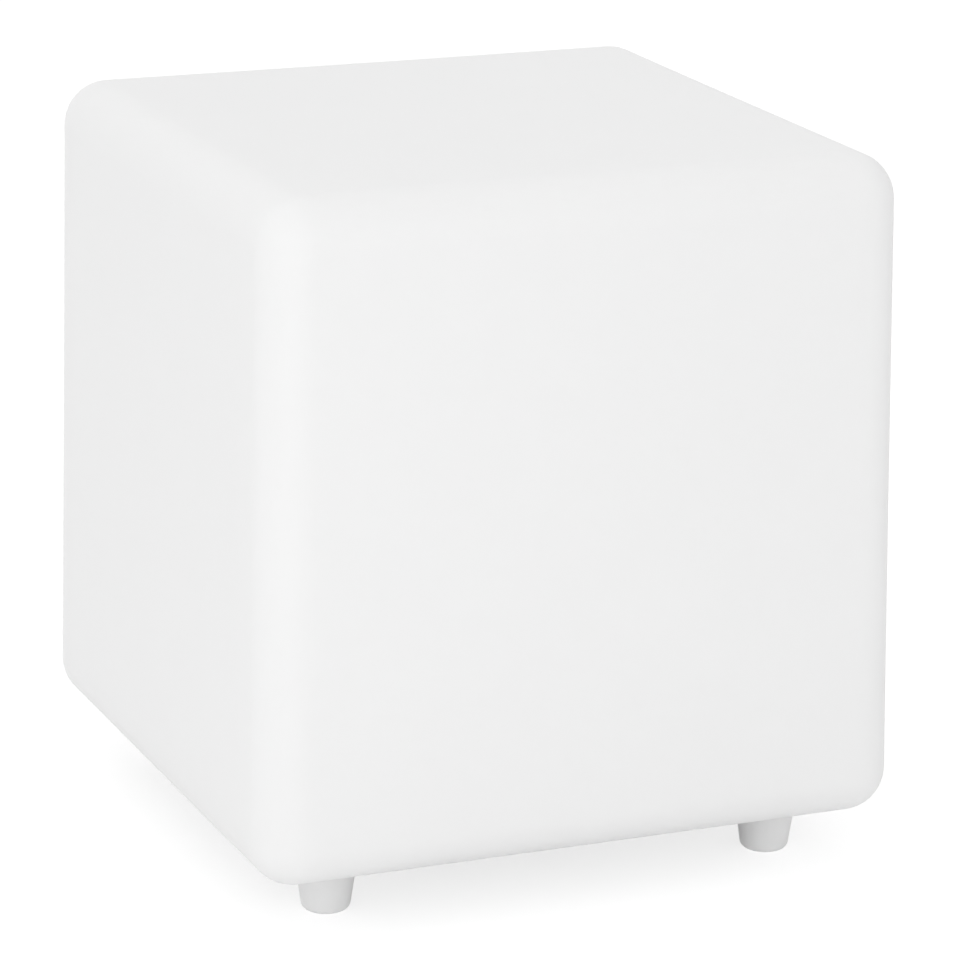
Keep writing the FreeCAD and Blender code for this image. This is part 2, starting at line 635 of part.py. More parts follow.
# ================================================================ push button
def power_button():
    """Button cap with a dished face, a seal groove and a flange that keeps it in the plate."""
    face = well_under - COLLAR_HEIGHT - BUTTON_STAND
    flange = BUTTON_RADIUS + BUTTON_FLANGE_WIDTH
    cap = turned([
        (0, face, 0), (BUTTON_RADIUS, face, BUTTON_ROUND), (BUTTON_RADIUS, well_top, 0),
        (flange, well_top, 0), (flange, button_flange_top, BUTTON_FLANGE_ROUND),
        (0, button_flange_top, 0),
    ], BUTTON_X)
    dish_radius = (BUTTON_RADIUS - BUTTON_ROUND) * BUTTON_DISH_SHARE
    sphere = (dish_radius ** 2 + BUTTON_DISH ** 2) / (2 * BUTTON_DISH)
    dish = Part.makeSphere(sphere, Vector(BUTTON_X, 0, face + BUTTON_DISH - sphere))
    groove = tube(BUTTON_RADIUS + OVERLAP, BUTTON_RADIUS - SEAL_RADIUS, button_seal_z() - SEAL_RADIUS,
                  button_seal_z() + SEAL_RADIUS, BUTTON_X)
    socket = post(STEM_RADIUS + SEAT_GAP, button_flange_top - STEM_SOCKET, button_flange_top,
                  BUTTON_X)
    return cap.cut([dish, groove, socket])


def button_seal_z():
    """Level of the seal round the button, inside the collar at rest and when pressed."""
    return well_under - COLLAR_HEIGHT / 2 + SEAL_RADIUS


def button_seal():
    """Silicone ring in the button's groove, which runs in the collar's bore."""
    bore = BUTTON_RADIUS + BUTTON_CLEARANCE
    high = bore - SEAL_CLEARANCE
    low = BUTTON_RADIUS - SEAL_RADIUS + SEAL_CLEARANCE
    z = button_seal_z()
    half = SEAL_RADIUS - SEAL_CLEARANCE
    return turned([(low, z - half, SEAL_ROUND), (high, z - half, SEAL_ROUND),
                   (high, z + half, SEAL_ROUND), (low, z + half, SEAL_ROUND)], BUTTON_X)


def switch_stem():
    """Stem of the push switch, pressed into the button."""
    return post(STEM_RADIUS, button_flange_top - STEM_SOCKET, switch_under + STEM_HIDDEN, BUTTON_X)


def power_switch():
    """Push switch under the control board, hollow where its stem runs."""
    case = block((SWITCH_SIZE, SWITCH_SIZE, SWITCH_HEIGHT), BUTTON_X, 0, switch_under)
    upright = [e for e in case.Edges if abs(e.Vertexes[0].Z - e.Vertexes[1].Z) > 1e-6]
    case = case.makeFillet(SWITCH_ROUND, upright)
    bore_top = switch_under + STEM_HIDDEN + BUTTON_TRAVEL + STACK_GAP
    return case.cut(post(STEM_RADIUS + STEM_CLEARANCE, switch_under, bore_top, BUTTON_X))


# ================================================================ charging socket
def charge_socket():
    """Round socket that stands on the control board and opens in the well's floor."""
    barrel = post(SOCKET_RADIUS, well_under, board_under, PORT_X)
    return barrel.cut(post(SOCKET_BORE_RADIUS, well_under, well_under + SOCKET_BORE_DEPTH, PORT_X))


def charge_socket_pin():
    """Contact pin in the middle of the socket."""
    high = well_under + SOCKET_BORE_DEPTH
    low = high - SOCKET_PIN_LENGTH
    return turned([(0, low, 0), (SOCKET_PIN_RADIUS, low, SOCKET_PIN_ROUND),
                   (SOCKET_PIN_RADIUS, high, 0), (0, high, 0)], PORT_X)


def socket_seal():
    """Silicone ring round the socket, on the well's floor inside the module."""
    inner = SOCKET_RADIUS + SEAT_GAP
    return tube(inner + SOCKET_SEAL_WIDTH, inner, well_top, well_top + SOCKET_SEAL_HEIGHT, PORT_X)


def port_cover():
    """Silicone cover of the socket: disc, plug, pull tab and its half of the strap."""
    under = cover_top - COVER_THICKNESS
    disc_radius = PORT_POCKET_RADIUS + PORT_COLLAR_WALL
    plug_radius = PORT_POCKET_RADIUS - COVER_CLEARANCE
    disc = turned([(0, under, 0), (disc_radius, under, COVER_ROUND), (disc_radius, cover_top, 0),
                   (0, cover_top, 0)], PORT_X)
    plug = turned([(0, cover_top - STRAP_THICKNESS, 0), (plug_radius, cover_top - STRAP_THICKNESS, 0),
                   (plug_radius, port_rim, 0),
                   (plug_radius - COVER_PLUG_TAPER, port_rim + COVER_PLUG_DEPTH, COVER_ROUND),
                   (0, port_rim + COVER_PLUG_DEPTH, 0)], PORT_X)
    tab_end = PORT_X + disc_radius + TAB_LENGTH
    tab = Part.makeBox(tab_end - PORT_X, TAB_WIDTH, STRAP_THICKNESS,
                       Vector(PORT_X, -TAB_WIDTH / 2, cover_top - STRAP_THICKNESS))
    outer_edges = [e for e in tab.Edges
                   if e.BoundBox.ZLength > STRAP_THICKNESS / 2 and e.BoundBox.XMin > PORT_X]
    tab = tab.makeFillet(TAB_CORNER, outer_edges)
    strap = Part.makeBox(COVER_HINGE, STRAP_WIDTH, STRAP_THICKNESS,
                         Vector(hinge_x, -STRAP_WIDTH / 2, cover_top - STRAP_THICKNESS))
    bend = Part.makeCylinder(STRAP_THICKNESS / 2, STRAP_WIDTH,
                             Vector(hinge_x, -STRAP_WIDTH / 2, hinge_z), Vector(0, 1, 0))
    return fused([disc, plug, tab, strap, bend])


def port_cover_anchor():
    """Fixed end of the cover's strap: head, stem through the well's floor, and locking bulb."""
    strap = Part.makeBox(ANCHOR_OFFSET - COVER_HINGE_GAP, STRAP_WIDTH, STRAP_THICKNESS,
                         Vector(anchor_x, -STRAP_WIDTH / 2, cover_top - STRAP_THICKNESS))
    under = cover_top - COVER_THICKNESS
    head = turned([
        (0, under, 0), (ANCHOR_RADIUS, under, COVER_ROUND), (ANCHOR_RADIUS, port_rim, 0),
        (ANCHOR_STEM_RADIUS, port_rim, 0), (ANCHOR_STEM_RADIUS, well_top, 0),
        (ANCHOR_BULB_RADIUS, well_top, 0),
        (ANCHOR_TIP_RADIUS, well_top + ANCHOR_BULB_HEIGHT, ANCHOR_TIP_ROUND),
        (0, well_top + ANCHOR_BULB_HEIGHT, 0),
    ], anchor_x)
    return fused([head, strap])


# ================================================================ charge indicator
def charge_indicator():
    """Clear light pipe from the well's floor to the indicator LED."""
    led_under = board_under - INDICATOR_LED[2]
    flange = PIPE_RADIUS + PIPE_FLANGE
    return turned([
        (0, well_under, 0), (PIPE_RADIUS, well_under, PIPE_ROUND), (PIPE_RADIUS, well_top, 0),
        (flange, well_top, 0), (flange, well_top + PIPE_FLANGE, 0),
        (PIPE_RADIUS, well_top + PIPE_FLANGE, 0), (PIPE_RADIUS, led_under, 0), (0, led_under, 0),
    ], INDICATOR_X, INDICATOR_Y)


def indicator_led():
    """LED under the control board that shows the charge through the light pipe."""
    return block(INDICATOR_LED, INDICATOR_X, INDICATOR_Y, board_under - INDICATOR_LED[2])


# ================================================================ control board
def control_board():
    """Control board with rounded corners and four screw holes."""
    board = rounded_plate(board_length, BOARD_WIDTH, BOARD_CORNER, board_under, board_top)
    hole = SMALL_SCREW_RADIUS + SCREW_CLEARANCE
    return board.cut([post(hole, board_under, board_top, x, y) for x, y in board_screw_places()])


def board_screws():
    """Screws that hold the control board on its posts."""
    return [small_screw(x, y, board_top) for x, y in board_screw_places()]


def controller_chip():
    """Controller in the middle of the board, with its rows of legs."""
    case_width = CHIP[1] - 2 * (CHIP_LEG[1] - CHIP_LEG_ROOT)
    case_size = (CHIP[0], case_width, CHIP[2] - CHIP_STAND)
    case = block(case_size, 0, 0, board_top + CHIP_STAND)
    rows = int((CHIP[0] - CHIP_LEG[0]) / CHIP_LEG_PITCH)
    legs = []
    for i in range(rows):
        x = (i - (rows - 1) / 2) * CHIP_LEG_PITCH
        for side in (-1, 1):
            legs.append(block(CHIP_LEG, x, side * (CHIP[1] - CHIP_LEG[1]) / 2, board_top))
    return fused([case] + legs)


def power_components():
    """Coil, capacitor and one driver for each colour."""
    coil_x = -board_length / 4
    coil_top = board_top + COIL_HEIGHT
    coil = turned([
        (0, board_top, 0), (COIL_RADIUS, board_top, 0), (COIL_RADIUS, board_top + COIL_FLANGE, 0),
        (COIL_RADIUS * COIL_WAIST, board_top + COIL_FLANGE, 0),
        (COIL_RADIUS * COIL_WAIST, coil_top - COIL_FLANGE, 0),
        (COIL_RADIUS, coil_top - COIL_FLANGE, 0), (COIL_RADIUS, coil_top, COIL_ROUND),
        (0, coil_top, 0),
    ], coil_x, -BOARD_WIDTH / 5)
    capacitor = turned([
        (0, board_top, 0), (CAPACITOR_RADIUS, board_top, 0),
        (CAPACITOR_RADIUS, board_top + CAPACITOR_HEIGHT, CAPACITOR_ROUND),
        (0, board_top + CAPACITOR_HEIGHT, 0),
    ], board_length / 4, BOARD_WIDTH / 5)
    drivers = [block(DRIVER, (i - (DRIVER_COUNT - 1) / 2) * DRIVER_PITCH,
                     DRIVER_EDGE - BOARD_WIDTH / 2, board_top) for i in range(DRIVER_COUNT)]
    return [coil, capacitor] + drivers


def battery_socket_places():
    """Places (x, y) of the battery sockets, at both ends of the board."""
    return rectangle_places((board_length - BATTERY_SOCKET[0]) / 2, SOCKET_SPACING / 2)


def led_socket_place():
    """Place (x, y) of the LED board's socket."""
    return 0.0, BOARD_WIDTH / 4


def battery_plug(x, y):
    """Plug that reaches into a battery socket from the board's end, and stands out a little."""
    outward = math.copysign(1, x)
    middle = x + outward * ((BATTERY_SOCKET[0] - PLUG_DEPTH + PLUG_PROUD) / 2)
    size = (PLUG_DEPTH + PLUG_PROUD, BATTERY_SOCKET[1] - 2 * SOCKET_SKIN,
            BATTERY_SOCKET[2] - 2 * SOCKET_SKIN)
    return block(size, middle, y, board_top + SOCKET_SKIN)


def led_plug():
    """Plug pushed down into the LED board's socket until it is flush."""
    x, y = led_socket_place()
    size = (LED_SOCKET[0] - 2 * SOCKET_SKIN, LED_SOCKET[1] - 2 * SOCKET_SKIN, PLUG_DEPTH)
    return block(size, x, y, board_top + LED_SOCKET[2] - PLUG_DEPTH)


def board_sockets():
    """Plug sockets on the control board, each hollow where its plug goes."""
    sockets = [block(BATTERY_SOCKET, x, y, board_top).cut(battery_plug(x, y))
               for x, y in battery_socket_places()]
    x, y = led_socket_place()
    return sockets + [block(LED_SOCKET, x, y, board_top).cut(led_plug())]


def lead_plugs():
    """Plugs of the leads, seated in their sockets."""
    return [battery_plug(x, y) for x, y in battery_socket_places()] + [led_plug()]


# ================================================================ battery
def battery_holder(side):
    """Open tray for one cell, beside the well; side is -1 for the front and +1 for the back."""
    y = side * battery_y
    end_top = cell_z + HOLDER_END_RISE
    side_top = cell_z + HOLDER_SIDE_RISE
    tray = block((holder_length, holder_width, end_top - flange_top), 0, y, flange_top)
    pocket = block((holder_inner_length, 2 * holder_inner, end_top - flange_top), 0, y,
                   flange_top + HOLDER_WALL)
    over_sides = block((holder_inner_length, 2 * holder_width, end_top - flange_top), 0, y, side_top)
    dip = Part.makeCylinder(FINGER_RADIUS, 2 * holder_width,
                            Vector(0, y - holder_width, cell_z + FINGER_GAP), Vector(0, 1, 0))
    lead_hole = Part.makeCylinder(LEAD_RADIUS + SCREW_CLEARANCE, 2 * holder_length,
                                  Vector(-holder_length, y, cell_z - LEAD_DROP), Vector(1, 0, 0))
    return tray.cut([pocket, over_sides, dip, lead_hole])


def battery_cell(side):
    """Cell lying along X in its holder, positive nib towards +X."""
    start = -(CELL_LENGTH + CELL_NIB) / 2
    section = [
        (0, start, 0), (CELL_RADIUS, start, CELL_ROUND),
        (CELL_RADIUS, start + CELL_LENGTH, CELL_ROUND),
        (CELL_NIB_RADIUS, start + CELL_LENGTH, 0),
        (CELL_NIB_RADIUS, start + CELL_LENGTH + CELL_NIB, CELL_NIB_ROUND),
        (0, start + CELL_LENGTH + CELL_NIB, 0),
    ]
    cell = turned(section)
    cell.rotate(Vector(0, 0, 0), Vector(0, 1, 0), 90)
    cell.translate(Vector(0, side * battery_y, cell_z))
    return cell


def battery_contacts():
    """Spring on a plate at each cell's negative end, and a plate with a pad at its positive end."""
    cell_end = (CELL_LENGTH + CELL_NIB) / 2
    wall = holder_inner_length / 2
    height = 2 * HOLDER_END_RISE
    room = wall - CONTACT_THICKNESS - cell_end
    helix = Part.makeHelix((room - 2 * SPRING_WIRE) / SPRING_TURNS, room - 2 * SPRING_WIRE,
                           SPRING_RADIUS)
    section = Part.Wire(Part.makeCircle(SPRING_WIRE, Vector(SPRING_RADIUS, 0, 0), Vector(0, 1, 0)))
    spring = Part.Wire(helix).makePipeShell([section], True, True)
    spring.rotate(Vector(0, 0, 0), Vector(0, 1, 0), 90)
    pieces = []
    for side in (-1, 1):
        y = side * battery_y
        for end in (-1, 1):
            pieces.append(block((CONTACT_THICKNESS, CONTACT_WIDTH, height),
                                end * (wall - CONTACT_THICKNESS / 2), y, cell_z - height / 2))
        pad = Part.makeCylinder(CELL_NIB_RADIUS, room, Vector(cell_end, y, cell_z),
                                Vector(1, 0, 0))
        pieces[-1] = fused([pieces[-1], pad])
        coil = spring.copy()
        coil.translate(Vector(SPRING_WIRE - cell_end - room, y, cell_z))
        pieces.append(coil)
    return pieces


def battery_leads(end):
    """Two leads from the holders' contacts at one end, +1 or -1 along X, up to their plugs."""
    exit_z = cell_z - LEAD_DROP
    plug_z = board_top + BATTERY_SOCKET[2] / 2
    upright_x = LEAD_BEND + max(holder_length / 2 + LEAD_EXIT,
                                board_length / 2 + PLUG_PROUD + LEAD_PLUG_RUN)
    leads = []
    for side in (-1, 1):
        y = side * battery_y
        plug_y = side * SOCKET_SPACING / 2
        leads.append(lead([
            Vector(end * holder_inner_length / 2, y, exit_z), Vector(end * upright_x, y, exit_z),
            Vector(end * upright_x, y, plug_z), Vector(end * upright_x, plug_y, plug_z),
            Vector(end * (board_length / 2 + PLUG_PROUD), plug_y, plug_z),
        ]))
    return leads


# ================================================================ LED tray, board and dome
def led_screw_places():
    """Places of the screws that hold the LED board on its tray."""
    return ring_places(4, led_screw_circle, 45.0)


def led_tray():
    """White tray over the electronics, with a hole for the lead and bosses for the LED board."""
    tray = post(tray_radius, tray_under, tray_top)
    bosses = [post(PILLAR_RADIUS, tray_under - LED_BOARD_BOSS, tray_top, x, y)
              for x, y in led_screw_places()]
    tray = fused([tray] + bosses)
    holes = [post(TRAY_HOLE_RADIUS, tray_under, tray_top, *led_socket_place())]
    for x, y in ring_places(4, tray_screw_circle):
        holes.append(post(SMALL_SCREW_RADIUS + SCREW_CLEARANCE, tray_under, tray_top, x, y))
    for x, y in led_screw_places():
        holes.append(post(SMALL_SCREW_RADIUS + THREAD_CLEARANCE, tray_under - LED_BOARD_BOSS,
                          tray_top, x, y))
    return tray.cut(holes)


def tray_screws():
    """Screws that hold the tray on the drum's pillars."""
    return [small_screw(x, y, tray_top) for x, y in ring_places(4, tray_screw_circle)]


def led_board():
    """Round aluminium board with its screw holes and a hole for each wire."""
    board = post(led_board_radius, tray_top, led_board_top)
    hole = SMALL_SCREW_RADIUS + SCREW_CLEARANCE
    holes = [post(hole, tray_top, led_board_top, x, y) for x, y in led_screw_places()]
    holes += [post(LED_WIRE_RADIUS + SEAT_GAP, tray_top, led_board_top, x, y)
              for x, y in led_wire_places()]
    return board.cut(holes)


def led_board_screws():
    """Screws that hold the LED board."""
    return [small_screw(x, y, led_board_top) for x, y in led_screw_places()]


def led_chips():
    """Square LED packages in three rings, each with a round window."""
    chips = []
    for count, inset in zip(LED_RING_COUNTS, LED_RING_INSETS):
        radius = led_board_radius - inset
        for i, (x, y) in enumerate(ring_places(count, radius)):
            chip = block((LED_SIZE, LED_SIZE, LED_HEIGHT), 0, 0, led_board_top)
            window = post(LED_WINDOW_RADIUS, led_board_top + LED_HEIGHT - LED_WINDOW_DEPTH,
                          led_board_top + LED_HEIGHT)
            chip = chip.cut(window)
            chip.rotate(Vector(0, 0, 0), Vector(0, 0, 1), 360.0 * i / count)
            chip.translate(Vector(x, y, 0))
            chips.append(chip)
    return chips


def ir_receiver():
    """Receiver for the remote control, standing in the middle of the LED board."""
    case = block(RECEIVER, 0, 0, led_board_top)
    lens = Part.makeSphere(RECEIVER_LENS_RADIUS,
                           Vector(0, -RECEIVER[1] / 2, led_board_top + RECEIVER_LENS_HEIGHT))
    return fused([case, lens])


def led_wire_places():
    """Places (x, y) of the wires in their row over the LED board's socket."""
    x, y = led_socket_place()
    return [(x + (i - (LED_WIRES - 1) / 2) * LED_WIRE_PITCH, y) for i in range(LED_WIRES)]


def led_wires():
    """Wires from their plug on the control board straight up to the LED board."""
    return [post(LED_WIRE_RADIUS, board_top + LED_SOCKET[2], led_board_top, x, y)
            for x, y in led_wire_places()]


def light_dome():
    """Frosted dome over the LEDs, clipped into the drum by a bead round its spigot."""
    rim = drum_top + DOME_SEAL_THICKNESS
    crown = rim + DOME_FLANGE + DOME_HEIGHT
    cap_radius = drum_radius - DOME_WALL
    sphere = (cap_radius ** 2 + DOME_HEIGHT ** 2) / (2 * DOME_HEIGHT)
    centre = Vector(0, 0, crown - sphere)
    above = post(drum_radius, rim + DOME_FLANGE, crown + OVERLAP)
    cap = Part.makeSphere(sphere, centre).common(above)
    ring = post(drum_radius, rim, rim + DOME_FLANGE)
    spigot_radius = drum_inner - DOME_SPIGOT_CLEARANCE
    spigot = post(spigot_radius, drum_top - DOME_SPIGOT_DEPTH, rim)
    solid = fused([cap, ring, spigot])
    hollow = Part.makeSphere(sphere - DOME_WALL, centre)
    hollow_radius = spigot_radius - DOME_SPIGOT_WALL
    below = post(hollow_radius, drum_top - DOME_SPIGOT_DEPTH, rim + DOME_FLANGE)
    hollow = hollow.common(above).fuse(below)
    dome = solid.cut(hollow)
    bead = turned(bead_section(spigot_radius - BEAD_ROOT, bead_z, DOME_BEAD + BEAD_ROOT - SEAT_GAP))
    return fused([dome, bead])


def bead_section(radius, z, size):
    """Half section of a pointed ring that stands out from a radius."""
    back = radius - BEAD_ROOT / 2
    return [(back, z - size, 0), (radius, z - size, 0), (radius + size, z, 0),
            (radius, z + size, 0), (back, z + size, 0)]


def dome_seal():
    """Flat silicone ring between the drum's rim and the dome."""
    return tube(drum_radius - DOME_SEAL_MARGIN, drum_inner + DOME_SEAL_MARGIN, drum_top,
                drum_top + DOME_SEAL_THICKNESS)


# ================================================================ export
PIECES = {
    "cube_shell": cube_shell,
    "threaded_inserts": threaded_inserts,
    "base_gasket": base_gasket,
    "base_plate": base_plate,
    "well_pan": well_pan,
    "board_posts": board_posts,
    "base_screws": base_screws,
    "power_button": power_button,
    "button_seal": button_seal,
    "switch_stem": switch_stem,
    "power_switch": power_switch,
    "charge_socket": charge_socket,
    "charge_socket_pin": charge_socket_pin,
    "socket_seal": socket_seal,
    "port_cover": port_cover,
    "port_cover_anchor": port_cover_anchor,
    "charge_indicator": charge_indicator,
    "indicator_led": indicator_led,
    "control_board": control_board,
    "board_screws": board_screws,
    "controller_chip": controller_chip,
    "power_components": power_components,
    "board_sockets": board_sockets,
    "lead_plugs": lead_plugs,
    "battery_holder_front": lambda: battery_holder(-1),
    "battery_holder_back": lambda: battery_holder(1),
    "battery_cell_front": lambda: battery_cell(-1),
    "battery_cell_back": lambda: battery_cell(1),
    "battery_contacts": battery_contacts,
    "battery_leads_positive": lambda: battery_leads(1),
    "battery_leads_negative": lambda: battery_leads(-1),
    "led_tray": led_tray,
    "tray_screws": tray_screws,
    "led_board": led_board,
    "led_board_screws": led_board_screws,
    "led_chips": led_chips,
    "led_wires": led_wires,
    "ir_receiver": ir_receiver,
    "light_dome": light_dome,
    "dome_seal": dome_seal,
}


def solids_of(made):
    """Compound of the solids in a shape or a list of shapes."""
    shapes = made if isinstance(made, list) else [made]
    return Part.makeCompound([solid for shape in shapes for solid in shape.Solids])


def main():
    os.makedirs("parts", exist_ok=True)
    for name, make in PIECES.items():
        shape = solids_of(make())
        box = shape.BoundBox
        print(f"{name}: {len(shape.Solids)} solids, {shape.Volume / 1000:.2f} cm3, valid "
              f"{shape.isValid()}, z {box.ZMin:.2f} to {box.ZMax:.2f}")
        shape.exportStep(os.path.join("parts", name + ".step"))


main()
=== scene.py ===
"""Looks of a cube-shaped garden lamp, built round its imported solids.

A hollow moulded cube of translucent white plastic stands on four feet that are moulded in one
with it. A round light module is screwed into its underside. The cube, the screws, the LED
packages and the small soft parts are modelled here; every other solid keeps its shape and gets
its finish. All sizes are in metres, in the frame of the solids: +Z up, ground at z = 0.
"""

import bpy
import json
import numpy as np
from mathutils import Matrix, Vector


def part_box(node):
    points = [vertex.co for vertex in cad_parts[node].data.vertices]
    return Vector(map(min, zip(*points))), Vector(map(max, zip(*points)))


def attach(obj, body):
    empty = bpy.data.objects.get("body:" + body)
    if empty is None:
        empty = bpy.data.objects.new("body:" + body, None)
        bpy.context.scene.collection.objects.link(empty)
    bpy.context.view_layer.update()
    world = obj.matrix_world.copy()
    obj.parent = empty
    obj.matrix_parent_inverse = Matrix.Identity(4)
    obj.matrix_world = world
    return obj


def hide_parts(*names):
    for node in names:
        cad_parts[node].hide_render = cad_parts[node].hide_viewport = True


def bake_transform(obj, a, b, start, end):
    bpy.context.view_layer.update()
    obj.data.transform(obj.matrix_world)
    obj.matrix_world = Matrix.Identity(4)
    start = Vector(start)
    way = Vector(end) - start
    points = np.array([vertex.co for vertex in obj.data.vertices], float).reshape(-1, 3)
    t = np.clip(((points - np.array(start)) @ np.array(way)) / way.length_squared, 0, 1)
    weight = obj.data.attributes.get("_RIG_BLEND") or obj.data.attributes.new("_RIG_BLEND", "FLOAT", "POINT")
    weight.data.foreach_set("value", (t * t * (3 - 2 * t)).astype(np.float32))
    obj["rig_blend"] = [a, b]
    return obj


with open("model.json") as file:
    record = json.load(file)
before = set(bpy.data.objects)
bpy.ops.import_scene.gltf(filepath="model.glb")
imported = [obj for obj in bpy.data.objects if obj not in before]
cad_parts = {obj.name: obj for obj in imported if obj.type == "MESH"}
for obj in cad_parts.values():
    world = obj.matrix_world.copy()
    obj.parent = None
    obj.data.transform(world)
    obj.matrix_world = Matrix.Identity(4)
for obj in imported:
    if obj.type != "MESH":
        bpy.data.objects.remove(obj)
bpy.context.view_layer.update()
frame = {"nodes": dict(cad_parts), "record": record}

import json
import logging
import math
from abc import ABC, abstractmethod
from dataclasses import dataclass
from enum import Enum
from functools import partial, reduce
from typing import Any, Sequence

import bmesh
import bpy
from mathutils import Matrix, Vector
from mathutils.geometry import delaunay_2d_cdt

log = logging.getLogger("lamp")

MM = 0.001
TINY = 1e-9
Point = tuple[float, float]
Span = tuple[float, float]
Corner = tuple[float, float, float]
Colour = tuple[float, float, float]
Socket = bpy.types.NodeSocket
Tree = bpy.types.NodeTree
Material = bpy.types.Material
Mesh = bpy.types.Mesh
Piece = bpy.types.Object
Build = bmesh.types.BMesh
Loop = list[bmesh.types.BMVert]

NUMBER = "NodeSocketFloat"
WHOLE = "NodeSocketInt"
VECTOR = "NodeSocketVector"
COLOUR = "NodeSocketColor"
GEOMETRY = "NodeSocketGeometry"
MATERIAL = "NodeSocketMaterial"


# ============================================================ node graphs
class Graph:
    """Adds and links nodes in one node tree."""

    def __init__(self, tree: Tree) -> None:
        """Starts on an emptied tree."""
        self.tree = tree
        tree.nodes.clear()

    def put(self, socket: Socket, value: Any) -> None:
        """Links a socket to another one, or sets its own value.

        Args:
            socket: The input to fill.
            value: An output socket, or a plain value; a colour gets full opacity.
        """
        if isinstance(value, Socket):
            self.tree.links.new(value, socket)
        else:
            socket.default_value = (*value, 1.0) if socket.type == "RGBA" else value

    def add(self, kind: str, inputs: dict | None = None, **settings: Any) -> bpy.types.Node:
        """Adds a node.

        Args:
            kind: The node's type name.
            inputs: Values or sockets for its inputs, by name or index.
            settings: Properties of the node itself.

        Returns:
            The new node.
        """
        node = self.tree.nodes.new(kind)
        for key, value in settings.items():
            setattr(node, key, value)
        for key, value in (inputs or {}).items():
            self.put(node.inputs[key], value)
        return node

    def get(self, kind: str, inputs: dict | None = None, **settings: Any) -> Socket:
        """Adds a node as add does, and returns its first output."""
        return self.add(kind, inputs, **settings).outputs[0]

    def math(self, operation: str, *values: Any, clamp: bool = False) -> Socket:
        """Adds a Math node and returns its output."""
        return self.get("ShaderNodeMath", dict(enumerate(values)), operation=operation,
                        use_clamp=clamp)

    def product(self, *values: Any) -> Socket:
        """Multiplies values with each other."""
        return reduce(partial(self.math, "MULTIPLY"), values)

    def vector(self, operation: str, *values: Any) -> Socket:
        """Adds a Vector Math node and returns its vector."""
        return self.get("ShaderNodeVectorMath", dict(enumerate(values)), operation=operation)

    def scaled(self, vector: Any, by: Any) -> Socket:
        """Adds a node that scales a vector and returns the result."""
        return self.get("ShaderNodeVectorMath", {0: vector, "Scale": by}, operation="SCALE")

    def combine(self, x: Any, y: Any, z: Any) -> Socket:
        """Adds a Combine XYZ node and returns its vector."""
        return self.get("ShaderNodeCombineXYZ", {0: x, 1: y, 2: z})

    def split(self, vector: Any) -> bpy.types.NodeOutputs:
        """Adds a Separate XYZ node and returns its three outputs."""
        return self.add("ShaderNodeSeparateXYZ", {0: vector}).outputs

    def between(self, value: Any, low: float, high: float, start: Any = 0.0,
                end: Any = 1.0) -> Socket:
        """Maps a value from low..high to start..end, smoothly and within those ends."""
        return self.get("ShaderNodeMapRange", {"Value": value, "From Min": low, "From Max": high,
                                               "To Min": start, "To Max": end},
                        interpolation_type="SMOOTHSTEP")

    def noise(self, vector: Any, scale: Any, detail: float, dimensions: str = "3D",
              **more: Any) -> Socket:
        """Adds a Noise Texture and returns its value; more fills its other inputs."""
        return self.get("ShaderNodeTexNoise", {"Vector": vector, "Scale": scale, "Detail": detail,
                                               **more}, noise_dimensions=dimensions)

    def mixed(self, share: Any, one: Any, two: Any) -> Socket:
        """Adds a node that goes from one colour to another and returns the result."""
        return self.add("ShaderNodeMix", {"Factor": share, "A": one, "B": two},
                        data_type="RGBA").outputs["Result"]


class Group(Graph):
    """A node group with named inputs and outputs."""

    def __init__(self, name: str, kind: str, inputs: dict[str, Any],
                 outputs: dict[str, str]) -> None:
        """Makes the group.

        Args:
            name: The group's name.
            kind: ShaderNodeTree or GeometryNodeTree.
            inputs: Default of each input that is a number, and socket type of each other one.
            outputs: Socket type of each output.
        """
        tree = bpy.data.node_groups.new(name, kind)
        for label, value in inputs.items():
            number = {float: NUMBER, int: WHOLE}.get(type(value))
            socket = tree.interface.new_socket(label, in_out="INPUT", socket_type=number or value)
            if number:
                socket.default_value = value
        for label, socket_type in outputs.items():
            tree.interface.new_socket(label, in_out="OUTPUT", socket_type=socket_type)
        super().__init__(tree)
        self.given = self.add("NodeGroupInput").outputs
        self.out = self.add("NodeGroupOutput").inputs

    def fill(self, **values: Any) -> Tree:
        """Fills the group's outputs.

        Args:
            values: What goes into each output, by name.

        Returns:
            The group's tree.
        """
        for name, value in values.items():
            self.put(self.out[name], value)
        return self.tree


# ============================================================ effects that finishes share
class Pattern(Group):
    """Shader group whose pattern lies on a vector and has a size."""

    def __init__(self, name: str, size: float, more: dict[str, Any],
                 outputs: dict[str, str]) -> None:
        """Makes the group.

        Args:
            name: The group's name.
            size: The pattern's default size.
            more: The group's other inputs, as Group takes them.
            outputs: Socket type of each output.
        """
        super().__init__(name, "ShaderNodeTree", {"Vector": VECTOR, "Size": size, **more}, outputs)
        self.place = self.given["Vector"]
        self.scale = self.math("DIVIDE", 1.0, self.given["Size"])


